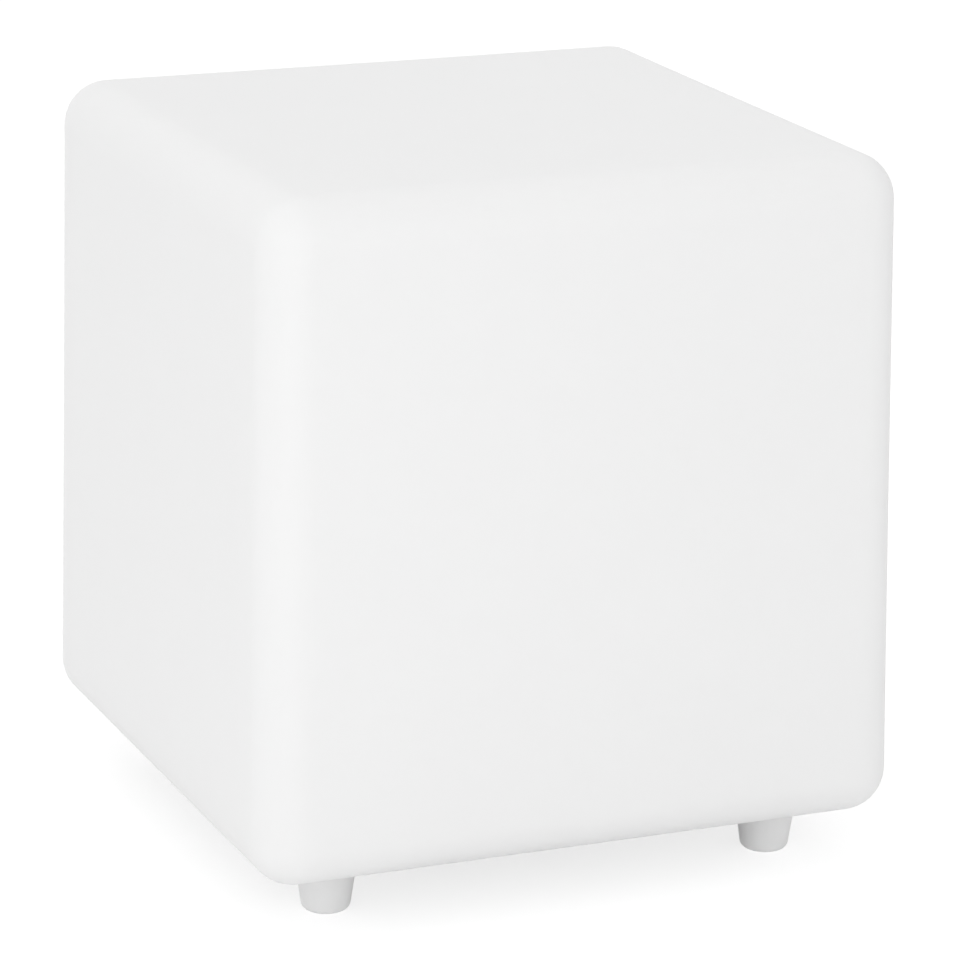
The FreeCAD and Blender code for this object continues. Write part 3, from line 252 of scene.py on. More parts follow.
@dataclass
class Effects:
    """The shader node groups that several finishes use, each built once.

    A pair of numbers is where a mask starts and where it is full, or the ends of a tone.
    """

    broad_share: float = 0.11
    broad_weight: float = 0.6
    line_share: float = 1.7
    line_width: float = 0.02
    line_weight: float = 0.5
    least_roughness: float = 0.03
    rubbed: Span = (0.52, 0.7)
    mark_range: Span = (0.3, 0.7)
    mark_tone: Span = (0.92, 1.06)
    sharp: Span = (0.52, 0.62)
    broken: Span = (0.35, 0.65)

    def __post_init__(self) -> None:
        """Builds every group."""
        self.grain = self.build_grain()
        self.mottle = self.build_mottle()
        self.handling = self.build_handling()
        self.brushing = self.build_brushing()
        self.edge = self.build_edge()

    def build_grain(self) -> Tree:
        """Builds the fine grain of a moulded surface.

        Returns:
            The group, which puts out a height that dimples irregularly.
        """
        graph = Pattern("moulding_grain", 0.6 * MM, {}, {"Height": NUMBER})
        pits = graph.noise(graph.place, graph.scale, detail=3.0, Roughness=0.6)
        broad = graph.noise(graph.place, graph.product(graph.scale, self.broad_share), detail=2.0)
        return graph.fill(Height=graph.math("MULTIPLY_ADD", broad, self.broad_weight, pits))

    def build_mottle(self) -> Tree:
        """Builds a slow variation of tone, as where a wall is a little thicker or thinner.

        Returns:
            The group, which puts out its colour with patches.
        """
        graph = Pattern("wall_mottle", 50.0 * MM, {"Color": COLOUR, "Amount": 0.02},
                        {"Color": COLOUR})
        cloud = graph.noise(graph.place, graph.scale, detail=4.0, Roughness=0.55)
        swing = graph.math("SUBTRACT", cloud, 0.5)
        gain = graph.math("MULTIPLY_ADD", swing, graph.given["Amount"], 1.0)
        return graph.fill(Color=graph.scaled(graph.given["Color"], gain))

    def build_handling(self) -> Tree:
        """Builds the faint rubs and hairlines that handling leaves.

        Returns:
            The group, which puts out a roughness.
        """
        graph = Pattern("handling_marks", 30.0 * MM, {"Roughness": 0.5, "Amount": 0.1},
                        {"Roughness": NUMBER})
        rubs = graph.noise(graph.place, graph.scale, detail=5.0, Roughness=0.65, Distortion=0.6)
        fine = graph.product(graph.scale, self.line_share)
        apart = graph.get("ShaderNodeTexVoronoi", {"Vector": graph.place, "Scale": fine},
                          feature="DISTANCE_TO_EDGE")
        hairline = graph.between(apart, 0.0, self.line_width, 1.0, 0.0)
        mask = graph.product(hairline, graph.between(rubs, *self.rubbed))
        swing = graph.math("SUBTRACT", rubs, 0.5)
        both = graph.math("MULTIPLY_ADD", mask, self.line_weight, swing)
        rough = graph.math("MULTIPLY_ADD", both, graph.given["Amount"], graph.given["Roughness"])
        least = graph.math("MAXIMUM", rough, self.least_roughness)
        return graph.fill(Roughness=graph.math("MINIMUM", least, 1.0))

    def build_brushing(self) -> Tree:
        """Builds the fine parallel tool marks of metal.

        Returns:
            The group, which puts out a height and a tone.
        """
        graph = Pattern("tool_marks", 0.2 * MM, {"Stretch": 30.0},
                        {"Height": NUMBER, "Tone": NUMBER})
        x, y, z = graph.split(graph.place)
        laid = graph.combine(graph.math("DIVIDE", x, graph.given["Stretch"]), y, z)
        marks = graph.noise(laid, graph.scale, detail=2.0)
        return graph.fill(Height=marks,
                          Tone=graph.between(marks, *self.mark_range, *self.mark_tone))

    def build_edge(self) -> Tree:
        """Builds the wear of outer edges, from how sharply the surface turns.

        Returns:
            The group, which puts out a mask broken up by noise.
        """
        graph = Pattern("edge_wear", 4.0 * MM, {}, {"Mask": NUMBER})
        turning = graph.add("ShaderNodeNewGeometry").outputs["Pointiness"]
        patches = graph.noise(graph.place, graph.scale, detail=3.0)
        return graph.fill(Mask=graph.product(graph.between(turning, *self.sharp),
                                             graph.between(patches, *self.broken)))


# ============================================================ finishes
class FinishGraph(Graph):
    """Graph of one material, with the shared effects at hand."""

    def __init__(self, name: str, effects: Effects) -> None:
        """Starts a material with its Principled shader, output and object coordinates.

        Args:
            name: The material's name.
            effects: The shared node groups.
        """
        self.material = bpy.data.materials.new(name)
        self.material.use_nodes = True
        super().__init__(self.material.node_tree)
        self.effects = effects
        self.shader = self.add("ShaderNodeBsdfPrincipled")
        self.add("ShaderNodeOutputMaterial", {"Surface": self.shader.outputs[0]})
        self.place = self.add("ShaderNodeTexCoord").outputs["Object"]

    def effect(self, tree: Tree, size: float, **values: Any) -> bpy.types.NodeOutputs:
        """Places a shared group on the object's coordinates and returns its outputs."""
        return self.add("ShaderNodeGroup", {"Vector": self.place, "Size": size, **values},
                        node_tree=tree).outputs

    def set(self, **values: Any) -> None:
        """Fills the Principled shader's sockets; underscores stand for spaces."""
        for key, value in values.items():
            self.put(self.shader.inputs[key.replace("_", " ")], value)

    def bump(self, height: Socket, depth: float, strength: float) -> None:
        """Gives the surface a relief of some depth in metres."""
        self.set(Normal=self.get("ShaderNodeBump", {"Height": height, "Distance": depth,
                                                    "Strength": strength}))


@dataclass(frozen=True)
class Finish(ABC):
    """What all finishes share: slow patches of tone, a gloss with rubs, and fine grain."""

    colour: Colour
    roughness: float = 0.5
    patch_size: float = 0.03
    patch_amount: float = 0.05
    rub_size: float | None = None
    rub_amount: float = 0.12
    grain_size: float = 0.0007
    grain_depth: float = 0.00004
    grain_strength: float = 0.25
    ior: float = 1.5

    def patchy(self, graph: FinishGraph, colour: Any) -> Socket:
        """Returns a colour with this finish's patches."""
        return graph.effect(graph.effects.mottle, self.patch_size, Color=colour,
                            Amount=self.patch_amount)["Color"]

    def grain(self, graph: FinishGraph) -> Socket:
        """Gives the surface this finish's grain.

        Args:
            graph: The material's graph.

        Returns:
            The grain's height.
        """
        height = graph.effect(graph.effects.grain, self.grain_size)["Height"]
        graph.bump(height, self.grain_depth, self.grain_strength)
        return height

    @abstractmethod
    def paint(self, graph: FinishGraph) -> None:
        """Gives the Principled shader its colour and relief."""

    def make(self, name: str, effects: Effects) -> Material:
        """Builds the finish.

        Args:
            name: The material's name.
            effects: The shared node groups.

        Returns:
            The material.
        """
        graph = FinishGraph(name, effects)
        rubs = graph.effect(effects.handling, self.rub_size or self.patch_size,
                            Roughness=self.roughness, Amount=self.rub_amount)
        graph.set(Roughness=rubs["Roughness"], IOR=self.ior)
        self.paint(graph)
        return graph.material


@dataclass(frozen=True)
class Plastic(Finish):
    """Moulded plastic, solid or a little translucent."""

    specular: float = 0.5
    translucency: float = 0.0
    light_path: float = 0.004
    spread: Colour = (1.0, 1.0, 1.0)

    def paint(self, graph: FinishGraph) -> None:
        """Sets colour, grain and how far light goes in.

        Args:
            graph: The material's graph.
        """
        graph.set(Base_Color=self.patchy(graph, self.colour), Specular_IOR_Level=self.specular)
        if self.translucency > 0:
            graph.set(Subsurface_Weight=self.translucency, Subsurface_Scale=self.light_path,
                      Subsurface_Radius=self.spread)
        self.grain(graph)


@dataclass(frozen=True)
class Silicone(Finish):
    """Soft silicone: matt, with a faint sheen and fine dust on its grain."""

    roughness: float = 0.62
    patch_size: float = 0.006
    patch_amount: float = 0.16
    rub_size: float = 0.008
    rub_amount: float = 0.18
    grain_size: float = 0.0005
    grain_depth: float = 0.00003
    grain_strength: float = 0.3
    ior: float = 1.42
    dust: Colour = (0.62, 0.61, 0.59)
    dust_range: Span = (0.8, 1.1)
    dust_amount: float = 0.18
    sheen: float = 0.15
    sheen_roughness: float = 0.6

    def paint(self, graph: FinishGraph) -> None:
        """Sets colour, dust, sheen and grain."""
        dusty = graph.between(self.grain(graph), *self.dust_range, 0.0, self.dust_amount)
        graph.set(Base_Color=graph.mixed(dusty, self.patchy(graph, self.colour), self.dust),
                  Sheen_Weight=self.sheen, Sheen_Roughness=self.sheen_roughness)


@dataclass(frozen=True)
class Metal(Finish):
    """Turned, pressed or plated metal, with tool marks and brighter worn edges."""

    roughness: float = 0.3
    rub_size: float = 0.004
    rub_amount: float = 0.2
    mark_size: float = 0.00025
    mark_stretch: float = 20.0
    mark_depth: float = 0.00002
    mark_strength: float = 0.15
    wear_size: float = 0.0015
    wear_gain: float = 1.25

    def paint(self, graph: FinishGraph) -> None:
        """Sets colour, tool marks and wear.

        Args:
            graph: The material's graph.
        """
        marks = graph.effect(graph.effects.brushing, self.mark_size, Stretch=self.mark_stretch)
        worn = graph.effect(graph.effects.edge, self.wear_size)["Mask"]
        bright = tuple(min(1.0, c * self.wear_gain) for c in self.colour)
        toned = graph.scaled(self.colour, marks["Tone"])
        graph.set(Base_Color=graph.mixed(worn, toned, bright), Metallic=1.0)
        graph.bump(marks["Height"], self.mark_depth, self.mark_strength)


class Tracks(Enum):
    """How the copper of a board is laid out."""

    ROWS = "rows"
    SECTORS = "sectors"


@dataclass(frozen=True)
class CircuitBoard(Finish):
    """Circuit board: solder mask over faint copper tracks, with a fine woven relief."""

    roughness: float = 0.32
    patch_size: float = 0.01
    patch_amount: float = 0.12
    rub_amount: float = 0.15
    grain_size: float = 0.0004
    grain_depth: float = 0.00002
    grain_strength: float = 0.2
    copper: Colour = (0.05, 0.27, 0.12)
    tracks: Tracks = Tracks.ROWS
    cell_size: float = 0.0216
    cell_gap: float = 0.06
    cell_tone: float = 0.9
    sector_count: int = 8
    sector_gap: float = 0.0011

    def rows(self, graph: FinishGraph) -> Socket:
        """Returns the colour of short tracks in rows."""
        darker = tuple(c * self.cell_tone for c in self.colour)
        return graph.get("ShaderNodeTexBrick",
                         {"Vector": graph.place, "Scale": 1.0 / self.cell_size,
                          "Mortar Size": self.cell_gap, "Color1": self.colour,
                          "Color2": darker, "Mortar": self.copper})

    def sectors(self, graph: FinishGraph) -> Socket:
        """Lays broad copper sectors round the middle, parted by even gaps.

        Args:
            graph: The material's graph.

        Returns:
            The board's colour.
        """
        x, y, _ = graph.split(graph.place)
        radius = graph.math("SQRT", graph.math("MULTIPLY_ADD", x, x, graph.product(y, y)))
        step = math.pi / self.sector_count
        angle = graph.math("ADD", graph.math("ARCTAN2", y, x), step)
        aside = graph.product(graph.math("PINGPONG", angle, step), radius)
        laid = graph.between(aside, self.sector_gap / 2, self.sector_gap)
        return graph.mixed(laid, self.colour, self.copper)

    def paint(self, graph: FinishGraph) -> None:
        """Sets tracks and weave.

        Args:
            graph: The material's graph.
        """
        laid = self.sectors(graph) if self.tracks is Tracks.SECTORS else self.rows(graph)
        graph.set(Base_Color=self.patchy(graph, laid))
        self.grain(graph)


@dataclass(frozen=True)
class LedPackage(Finish):
    """White LED package whose round window, the attribute "phosphor", holds yellow phosphor."""

    roughness: float = 0.35
    patch_size: float = 0.001
    patch_amount: float = 0.15
    rub_size: float = 0.003
    rub_amount: float = 0.15
    phosphor: Colour = (0.80, 0.58, 0.10)

    def paint(self, graph: FinishGraph) -> None:
        """Sets the colours of case and window."""
        window = graph.add("ShaderNodeAttribute", attribute_name="phosphor").outputs["Fac"]
        graph.set(Base_Color=self.patchy(graph, graph.mixed(window, self.colour, self.phosphor)))


# By slot; after the colour come roughness, patch_size and patch_amount, the rest by name.
FINISHES: dict[str, Finish] = {
    "shell_plastic": Plastic((0.86, 0.86, 0.86), 0.56, 0.045, 0.012, rub_amount=0.06,
                             grain_size=0.0009, grain_depth=0.00005, grain_strength=0.12,
                             specular=0.35, translucency=0.35, light_path=0.006),
    "base_plastic": Plastic((0.78, 0.78, 0.775), grain_size=0.0006, grain_strength=0.35),
    "button_rubber": Plastic((0.36, 0.37, 0.38), 0.55, 0.006, grain_size=0.0004),
    "silicone_white": Silicone((0.74, 0.74, 0.73)),
    "silicone_dark": Silicone((0.07, 0.07, 0.07)),
    "cover_silicone": Silicone((0.42, 0.43, 0.44)),
    "stainless_screws": Metal((0.60, 0.59, 0.57), 0.28),
    "zinc_screws": Metal((0.56, 0.57, 0.60), 0.34),
    "brass_inserts": Metal((0.75, 0.56, 0.26), 0.3),
    "brass_posts": Metal((0.78, 0.60, 0.30), 0.24),
    "plated_pin": Metal((0.72, 0.71, 0.69), 0.14, mark_strength=0.05),
    "nickel_contacts": Metal((0.66, 0.64, 0.60), 0.24),
    "stem_plastic": Plastic((0.72, 0.71, 0.66), 0.5, 0.003),
    "switch_plastic": Plastic((0.035, 0.035, 0.037), 0.42, 0.005),
    "socket_plastic": Plastic((0.03, 0.03, 0.03), 0.38, 0.006),
    "light_pipe": Plastic((0.78, 0.80, 0.82), 0.12, 0.003, translucency=0.5, light_path=0.003),
    "circuit_board": CircuitBoard((0.02, 0.16, 0.07)),
    "chip_plastic": Plastic((0.03, 0.03, 0.032), 0.55, 0.004),
    "plug_nylon": Plastic((0.80, 0.77, 0.70), 0.4, 0.004),
    "holder_plastic": Plastic((0.03, 0.03, 0.032)),
    "cell_sleeve": Plastic((0.05, 0.20, 0.44), 0.22, 0.015, grain_strength=0.08),
    "lead_red": Plastic((0.55, 0.03, 0.02), 0.4, 0.01),
    "lead_black": Plastic((0.02, 0.02, 0.02), 0.4, 0.01),
    "lead_white": Plastic((0.76, 0.76, 0.74), 0.42, 0.01),
    "tray_plastic": Plastic((0.84, 0.84, 0.83), 0.55),
    "led_board_aluminium": CircuitBoard((0.70, 0.70, 0.69), copper=(0.81, 0.81, 0.80),
                                        tracks=Tracks.SECTORS),
    "receiver_resin": Plastic((0.02, 0.012, 0.02), 0.15, 0.003, grain_strength=0.05),
    "dome_plastic": Plastic((0.82, 0.82, 0.82), 0.4, translucency=0.3),
    "led_package": LedPackage((0.85, 0.85, 0.83)),
}


class Finishes:
    """Makes each finish once, when it is first asked for."""

    def __init__(self) -> None:
        """Builds the shared effects."""
        self.effects = Effects()
        self.made: dict[str, Material] = {}

    def get(self, slot: str) -> Material:
        """Makes sure that a finish is there.

        Args:
            slot: One of the record's slots.

        Returns:
            Its material.
        """
        if slot not in self.made:
            self.made[slot] = FINISHES[slot].make(slot, self.effects)
        return self.made[slot]


# ============================================================ meshes
def rounded_profile(corners: Sequence[Corner], steps: int = 6) -> list[Point]:
    """Rounds the inner corners of an open outline.

    Args:
        corners: (radius, height, rounding) of each corner; the ends' rounding is ignored.
        steps: Segments in each rounded corner.

    Returns:
        Points (radius, height) along the outline.
    """
    points: list[Point] = [corners[0][:2]]
    for before, here, after in zip(corners, corners[1:], corners[2:]):
        if here[2] <= 0:
            points.append(here[:2])
            continue
        middle = Vector(here[:2])
        back = (Vector(before[:2]) - middle).normalized()
        ahead = (Vector(after[:2]) - middle).normalized()
        half_angle = back.angle(ahead) / 2
        reach = here[2] / math.tan(half_angle)
        centre = middle + (back + ahead).normalized() * (here[2] / math.sin(half_angle))
        start = middle + back * reach - centre
        end = middle + ahead * reach - centre
        sweep = start.angle(end)
        for step in range(steps + 1):
            share = step / steps
            turned = start * math.sin((1 - share) * sweep) + end * math.sin(share * sweep)
            points.append(tuple(centre + turned / math.sin(sweep)))
    points.append(corners[-1][:2])
    return points


def join_loops(bm: Build, loops: Sequence[Loop], capped: bool = False) -> None:
    """Joins each closed loop of vertices to the next one.

    Args:
        bm: The mesh to add to.
        loops: The loops, equally long; one of a single vertex is joined by a fan.
        capped: Whether the first and the last loop are closed with a face.
    """
    for one, two in zip(loops, loops[1:]):
        count = max(len(one), len(two))
        for i in range(count):
            j = (i + 1) % count
            corners = [one[i % len(one)], one[j % len(one)], two[j % len(two)], two[i % len(two)]]
            bm.faces.new(list(dict.fromkeys(corners)))
    if capped:
        bm.faces.new(loops[0])
        bm.faces.new(loops[-1])


def lathe(bm: Build, profile: Sequence[Point], centre: Point = (0.0, 0.0),
          segments: int = 48) -> tuple[Loop, Loop]:
    """Turns an outline about an upright axis.

    Args:
        bm: The mesh to add to.
        profile: Points (radius, height); an end on the axis is closed with a fan.
        centre: Where the axis stands.
        segments: Segments round the axis.

    Returns:
        The first and the last ring, each with one vertex where it lies on the axis.
    """
    turn = math.tau / segments
    rings = [[bm.verts.new((centre[0] + radius * math.cos(i * turn),
                            centre[1] + radius * math.sin(i * turn), height))
              for i in range(segments if radius > TINY else 1)] for radius, height in profile]
    join_loops(bm, rings)
    return rings[0], rings[-1]


def fill_flat(bm: Build, border: Loop, holes: Sequence[Loop]) -> None:
    """Fills the flat between a border and holes with triangles.

    Args:
        bm: The mesh to add to.
        border: Loop of vertices round the flat.
        holes: Loop of vertices round each hole.
    """
    vertices: Loop = []
    outlines = []
    for loop in (border, *holes):
        outlines.append(list(range(len(vertices), len(vertices) + len(loop))))
        vertices += loop
    _, _, triangles, origins, _, inside = delaunay_2d_cdt(
        [v.co.xy for v in vertices], [], outlines, 1, TINY)
    for triangle, within in zip(triangles, inside):
        if list(within) == [0]:
            bm.faces.new([vertices[origins[i][0]] for i in triangle])


def places_on_circle(count: int, radius: float, first_degrees: float = 0.0) -> list[Point]:
    """Places (x, y) spaced evenly round the upright axis."""
    turns = [math.radians(first_degrees) + math.tau * i / count for i in range(count)]
    return [(radius * math.cos(t), radius * math.sin(t)) for t in turns]


def rounded_rectangle(length: float, width: float, corner: float, steps: int = 5) -> list[Point]:
    """Rounds the corners of a rectangle that is centred on the origin.

    Args:
        length: Size along the first axis.
        width: Size along the second axis.
        corner: Radius of the corners.
        steps: Segments in each corner.

    Returns:
        Points anticlockwise, from the corner where both are positive.
    """
    points = []
    for quarter, (sx, sy) in enumerate([(1, 1), (-1, 1), (-1, -1), (1, -1)]):
        centre = Vector((sx * (length / 2 - corner), sy * (width / 2 - corner)))
        for step in range(steps + 1):
            turn = (quarter + step / steps) * math.pi / 2
            points.append(tuple(centre + corner * Vector((math.cos(turn), math.sin(turn)))))
    return points


def soft_slab(bm: Build, low: Vector, high: Vector, corner: float, edge: float,
              steps: int = 3) -> None:
    """Adds a flat slab with rounded corners and softened rims.

    Args:
        bm: The mesh to add to.
        low: Lowest corner of the slab's box.
        high: Highest corner of the slab's box.
        corner: Radius of the upright corners.
        edge: Rounding of the upper and lower rims.
        steps: Segments in a rim's rounding.
    """
    size = high - low
    middle = (low + high) / 2
    quarter = [math.pi / 2 * step / steps for step in range(steps + 1)]
    levels = [(edge * (1 - math.sin(t)), low.z + edge * (1 - math.cos(t))) for t in quarter]
    levels += [(inset, low.z + high.z - z) for inset, z in reversed(levels)]
    loops = []
    for inset, z in levels:
        points = rounded_rectangle(size.x - 2 * inset, size.y - 2 * inset, corner - inset)
        loops.append([bm.verts.new((middle.x + x, middle.y + y, z)) for x, y in points])
    join_loops(bm, loops, capped=True)


def smooth(mesh: Mesh, sharp_degrees: float) -> Mesh:
    """Shades a mesh smooth.

    Args:
        mesh: The mesh.
        sharp_degrees: Edges that turn by more stay sharp.

    Returns:
        The same mesh.
    """
    mesh.shade_smooth()
    mesh.set_sharp_from_angle(angle=math.radians(sharp_degrees))
    return mesh


def finished_mesh(bm: Build, name: str, sharp_degrees: float = 40.0) -> Mesh:
    """Turns a bmesh into a smooth-shaded mesh whose faces point outwards.

    Args:
        bm: The mesh being built; it is freed.
        name: The mesh's name.
        sharp_degrees: Edges that turn by more stay sharp.

    Returns:
        The mesh.
    """
    bmesh.ops.recalc_face_normals(bm, faces=bm.faces)
    mesh = bpy.data.meshes.new(name)
    bm.to_mesh(mesh)
    bm.free()
    return smooth(mesh, sharp_degrees)


def link(name: str, data: Any) -> Piece:
    """Links a new object into the scene at the origin.

    Args:
        name: The object's name.
        data: Its mesh, light or camera.

    Returns:
        The object.
    """
    made = bpy.data.objects.new(name, data)
    bpy.context.scene.collection.objects.link(made)
    return made


def joined_piece(name: str, parts: Sequence[Mesh], material: Material,
                 sharp_degrees: float) -> Piece:
    """Makes one piece of several meshes.

    Args:
        name: The piece's name.
        parts: The meshes.
        material: The piece's finish.
        sharp_degrees: Edges that turn by more stay sharp.

    Returns:
        The piece.
    """
    whole = bmesh.new()
    for part in parts:
        whole.from_mesh(part)
    mesh = bpy.data.meshes.new(name)
    whole.to_mesh(mesh)
    whole.free()
    mesh.materials.append(material)
    return link(name, smooth(mesh, sharp_degrees))


def seat_piece(piece: Piece, body: str, slot: str, *nodes: str) -> None:
    """Puts a piece on its body and hides the solids it stands for.

    Args:
        piece: The piece.
        body: The body that carries it.
        slot: Not used; the record's slot of its finish.
        nodes: The solids.
    """
    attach(piece, body)
    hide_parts(*nodes)
    log.info("%s: %d faces on %s", piece.name, len(piece.data.polygons), body)


# ============================================================ geometry trees
class Rule(Group):
    """Geometry tree that works on a mesh, with some values, and gives it a material."""

    def __init__(self, name: str, inputs: dict[str, Any]) -> None:
        """Makes the tree with its own inputs between Geometry and Material."""
        super().__init__(name, "GeometryNodeTree",
                         {"Geometry": GEOMETRY, **inputs, "Material": MATERIAL},
                         {"Geometry": GEOMETRY})

    def close(self, geometry: Socket) -> None:
        """Ends the tree by making copies real and setting the material."""
        real = self.get("GeometryNodeRealizeInstances", {"Geometry": geometry})
        self.fill(Geometry=self.get("GeometryNodeSetMaterial",
                                    {"Geometry": real, "Material": self.given["Material"]}))

    def run(self, mesh: Mesh, name: str, **values: Any) -> Mesh:
        """Runs the tree on a mesh.

        Args:
            mesh: What goes into the tree's geometry input.
            name: Name of the new mesh.
            values: The tree's other inputs; underscores stand for spaces.

        Returns:
            The result as a plain mesh. The modifier and its object are gone.
        """
        carrier = link(name + "_carrier", mesh)
        modifier = carrier.modifiers.new(name, "NODES")
        modifier.node_group = self.tree
        names = {s.name: s.identifier for s in self.tree.interface.items_tree
                 if s.in_out == "INPUT"}
        for key, value in values.items():
            modifier[names[key.replace("_", " ")]] = value
        graph = bpy.context.evaluated_depsgraph_get()
        made = bpy.data.meshes.new_from_object(carrier.evaluated_get(graph))
        made.name = name
        carrier.modifiers.remove(modifier)
        bpy.data.objects.remove(carrier)
        return made


class MouldRule(Rule):
    """Rule of the moulded cube, which runs on a square cage.

    It rounds every edge, leans the sides in, and lets each face sink and ripple a little, as a
    large moulded wall does, apart from the lowest one, whose outward direction rises by less
    than underside. Only points whose attribute "shaped" is 1 move. The attribute "inset" says
    how far inside the outer skin a point belongs.
    """

    underside: Span = (-0.9, -0.2)

    def __init__(self) -> None:
        """Builds the tree."""
        super().__init__("moulded_cube", {
            "Half Width": 0.15, "Half Height": 0.15, "Middle Height": 0.17, "Edge Radius": 0.02,
            "Draft": 0.01, "Sink": 0.0005, "Ripple": 0.0001, "Ripple Size": 0.1, "Seed": 0.0})
        given = self.given
        inset, shaped = (self.add("GeometryNodeInputNamedAttribute", {"Name": name},
                                  data_type="FLOAT").outputs["Attribute"]
                         for name in ("inset", "shaped"))
        centre = self.combine(0.0, 0.0, given["Middle Height"])
        across = self.math("SUBTRACT", given["Half Width"], inset)
        half = self.combine(across, across, self.math("SUBTRACT", given["Half Height"], inset))
        radius = self.math("SUBTRACT", given["Edge Radius"], inset)
        core = self.vector("SUBTRACT", half, self.combine(radius, radius, radius))
        place = self.vector("SUBTRACT", self.get("GeometryNodeInputPosition"), centre)
        kept = self.vector("MAXIMUM", self.vector("MINIMUM", place, core),
                           self.vector("MULTIPLY", core, (-1.0, -1.0, -1.0)))
        outward = self.vector("NORMALIZE", self.vector("SUBTRACT", place, kept))
        rounded = self.vector("ADD", kept, self.scaled(outward, radius))

        turns = self.split(outward)
        falls = []
        for share, turn in zip(self.split(self.vector("DIVIDE", rounded, half)), turns):
            aside = self.math("SUBTRACT", 1.0, self.math("ABSOLUTE", turn))
            falls.append(self.math("SUBTRACT", 1.0, self.product(share, share, aside),
                                   clamp=True))
        above = self.between(turns[2], *self.underside)
        sink = self.product(*falls, given["Sink"], above)
        waves = self.noise(place, self.math("DIVIDE", 1.0, given["Ripple Size"]), detail=1.5,
                           dimensions="4D", W=given["Seed"])
        ripple = self.product(waves, given["Ripple"], above)
        pull = self.product(self.math("ADD", sink, ripple), -1.0)
        moulded = self.vector("ADD", rounded, self.scaled(outward, pull))

        rise = self.product(self.split(moulded)[2], given["Draft"])
        spread = self.math("SUBTRACT", 1.0, self.math("DIVIDE", rise, given["Half Width"]))
        leaning = self.vector("MULTIPLY", moulded, self.combine(spread, spread, 1.0))
        self.close(self.get("GeometryNodeSetPosition",
                            {"Geometry": given["Geometry"],
                             "Selection": self.math("GREATER_THAN", shaped, 0.5),
                             "Position": self.vector("ADD", leaning, centre)}))


class CircleRule(Rule):
    """Copies of a piece round an upright axis, each turned about itself by a seeded amount."""

    def __init__(self) -> None:
        """Builds the tree."""
        super().__init__("copies_on_a_circle", {"Count": 6, "Radius": 0.08, "First Angle": 0.0,
                                                "Own Turn": 0.0, "Seed": 0})
        given = self.given
        first = given["First Angle"]
        circle = self.get("GeometryNodeMeshCircle", {"Vertices": given["Count"],
                                                     "Radius": given["Radius"]})
        spun = self.get("GeometryNodeTransform", {"Geometry": circle,
                                                  "Rotation": self.combine(0.0, 0.0, first)})
        number = self.get("GeometryNodeInputIndex")
        step = self.math("DIVIDE", math.tau, given["Count"])
        faced = self.math("MULTIPLY_ADD", number, step, first)
        chance = self.add("FunctionNodeRandomValue", {3: given["Own Turn"], "ID": number,
                                                      "Seed": given["Seed"]}, data_type="FLOAT")
        turned = self.math("ADD", faced, chance.outputs[1])
        self.close(self.get("GeometryNodeInstanceOnPoints",
                            {"Points": spun, "Instance": given["Geometry"],
                             "Rotation": self.combine(0.0, 0.0, turned)}))


class LineRule(Rule):
    """Copies of a piece at an even pitch along the X axis."""

    def __init__(self) -> None:
        """Builds the tree."""
        super().__init__("copies_on_a_line", {"Count": 3, "Start": VECTOR, "Pitch": 0.001})
        given = self.given
        line = self.get("GeometryNodeMeshLine",
                        {"Count": given["Count"], "Start Location": given["Start"],
                         "Offset": self.combine(given["Pitch"], 0.0, 0.0)})
        self.close(self.get("GeometryNodeInstanceOnPoints", {"Points": line,
                                                             "Instance": given["Geometry"]}))


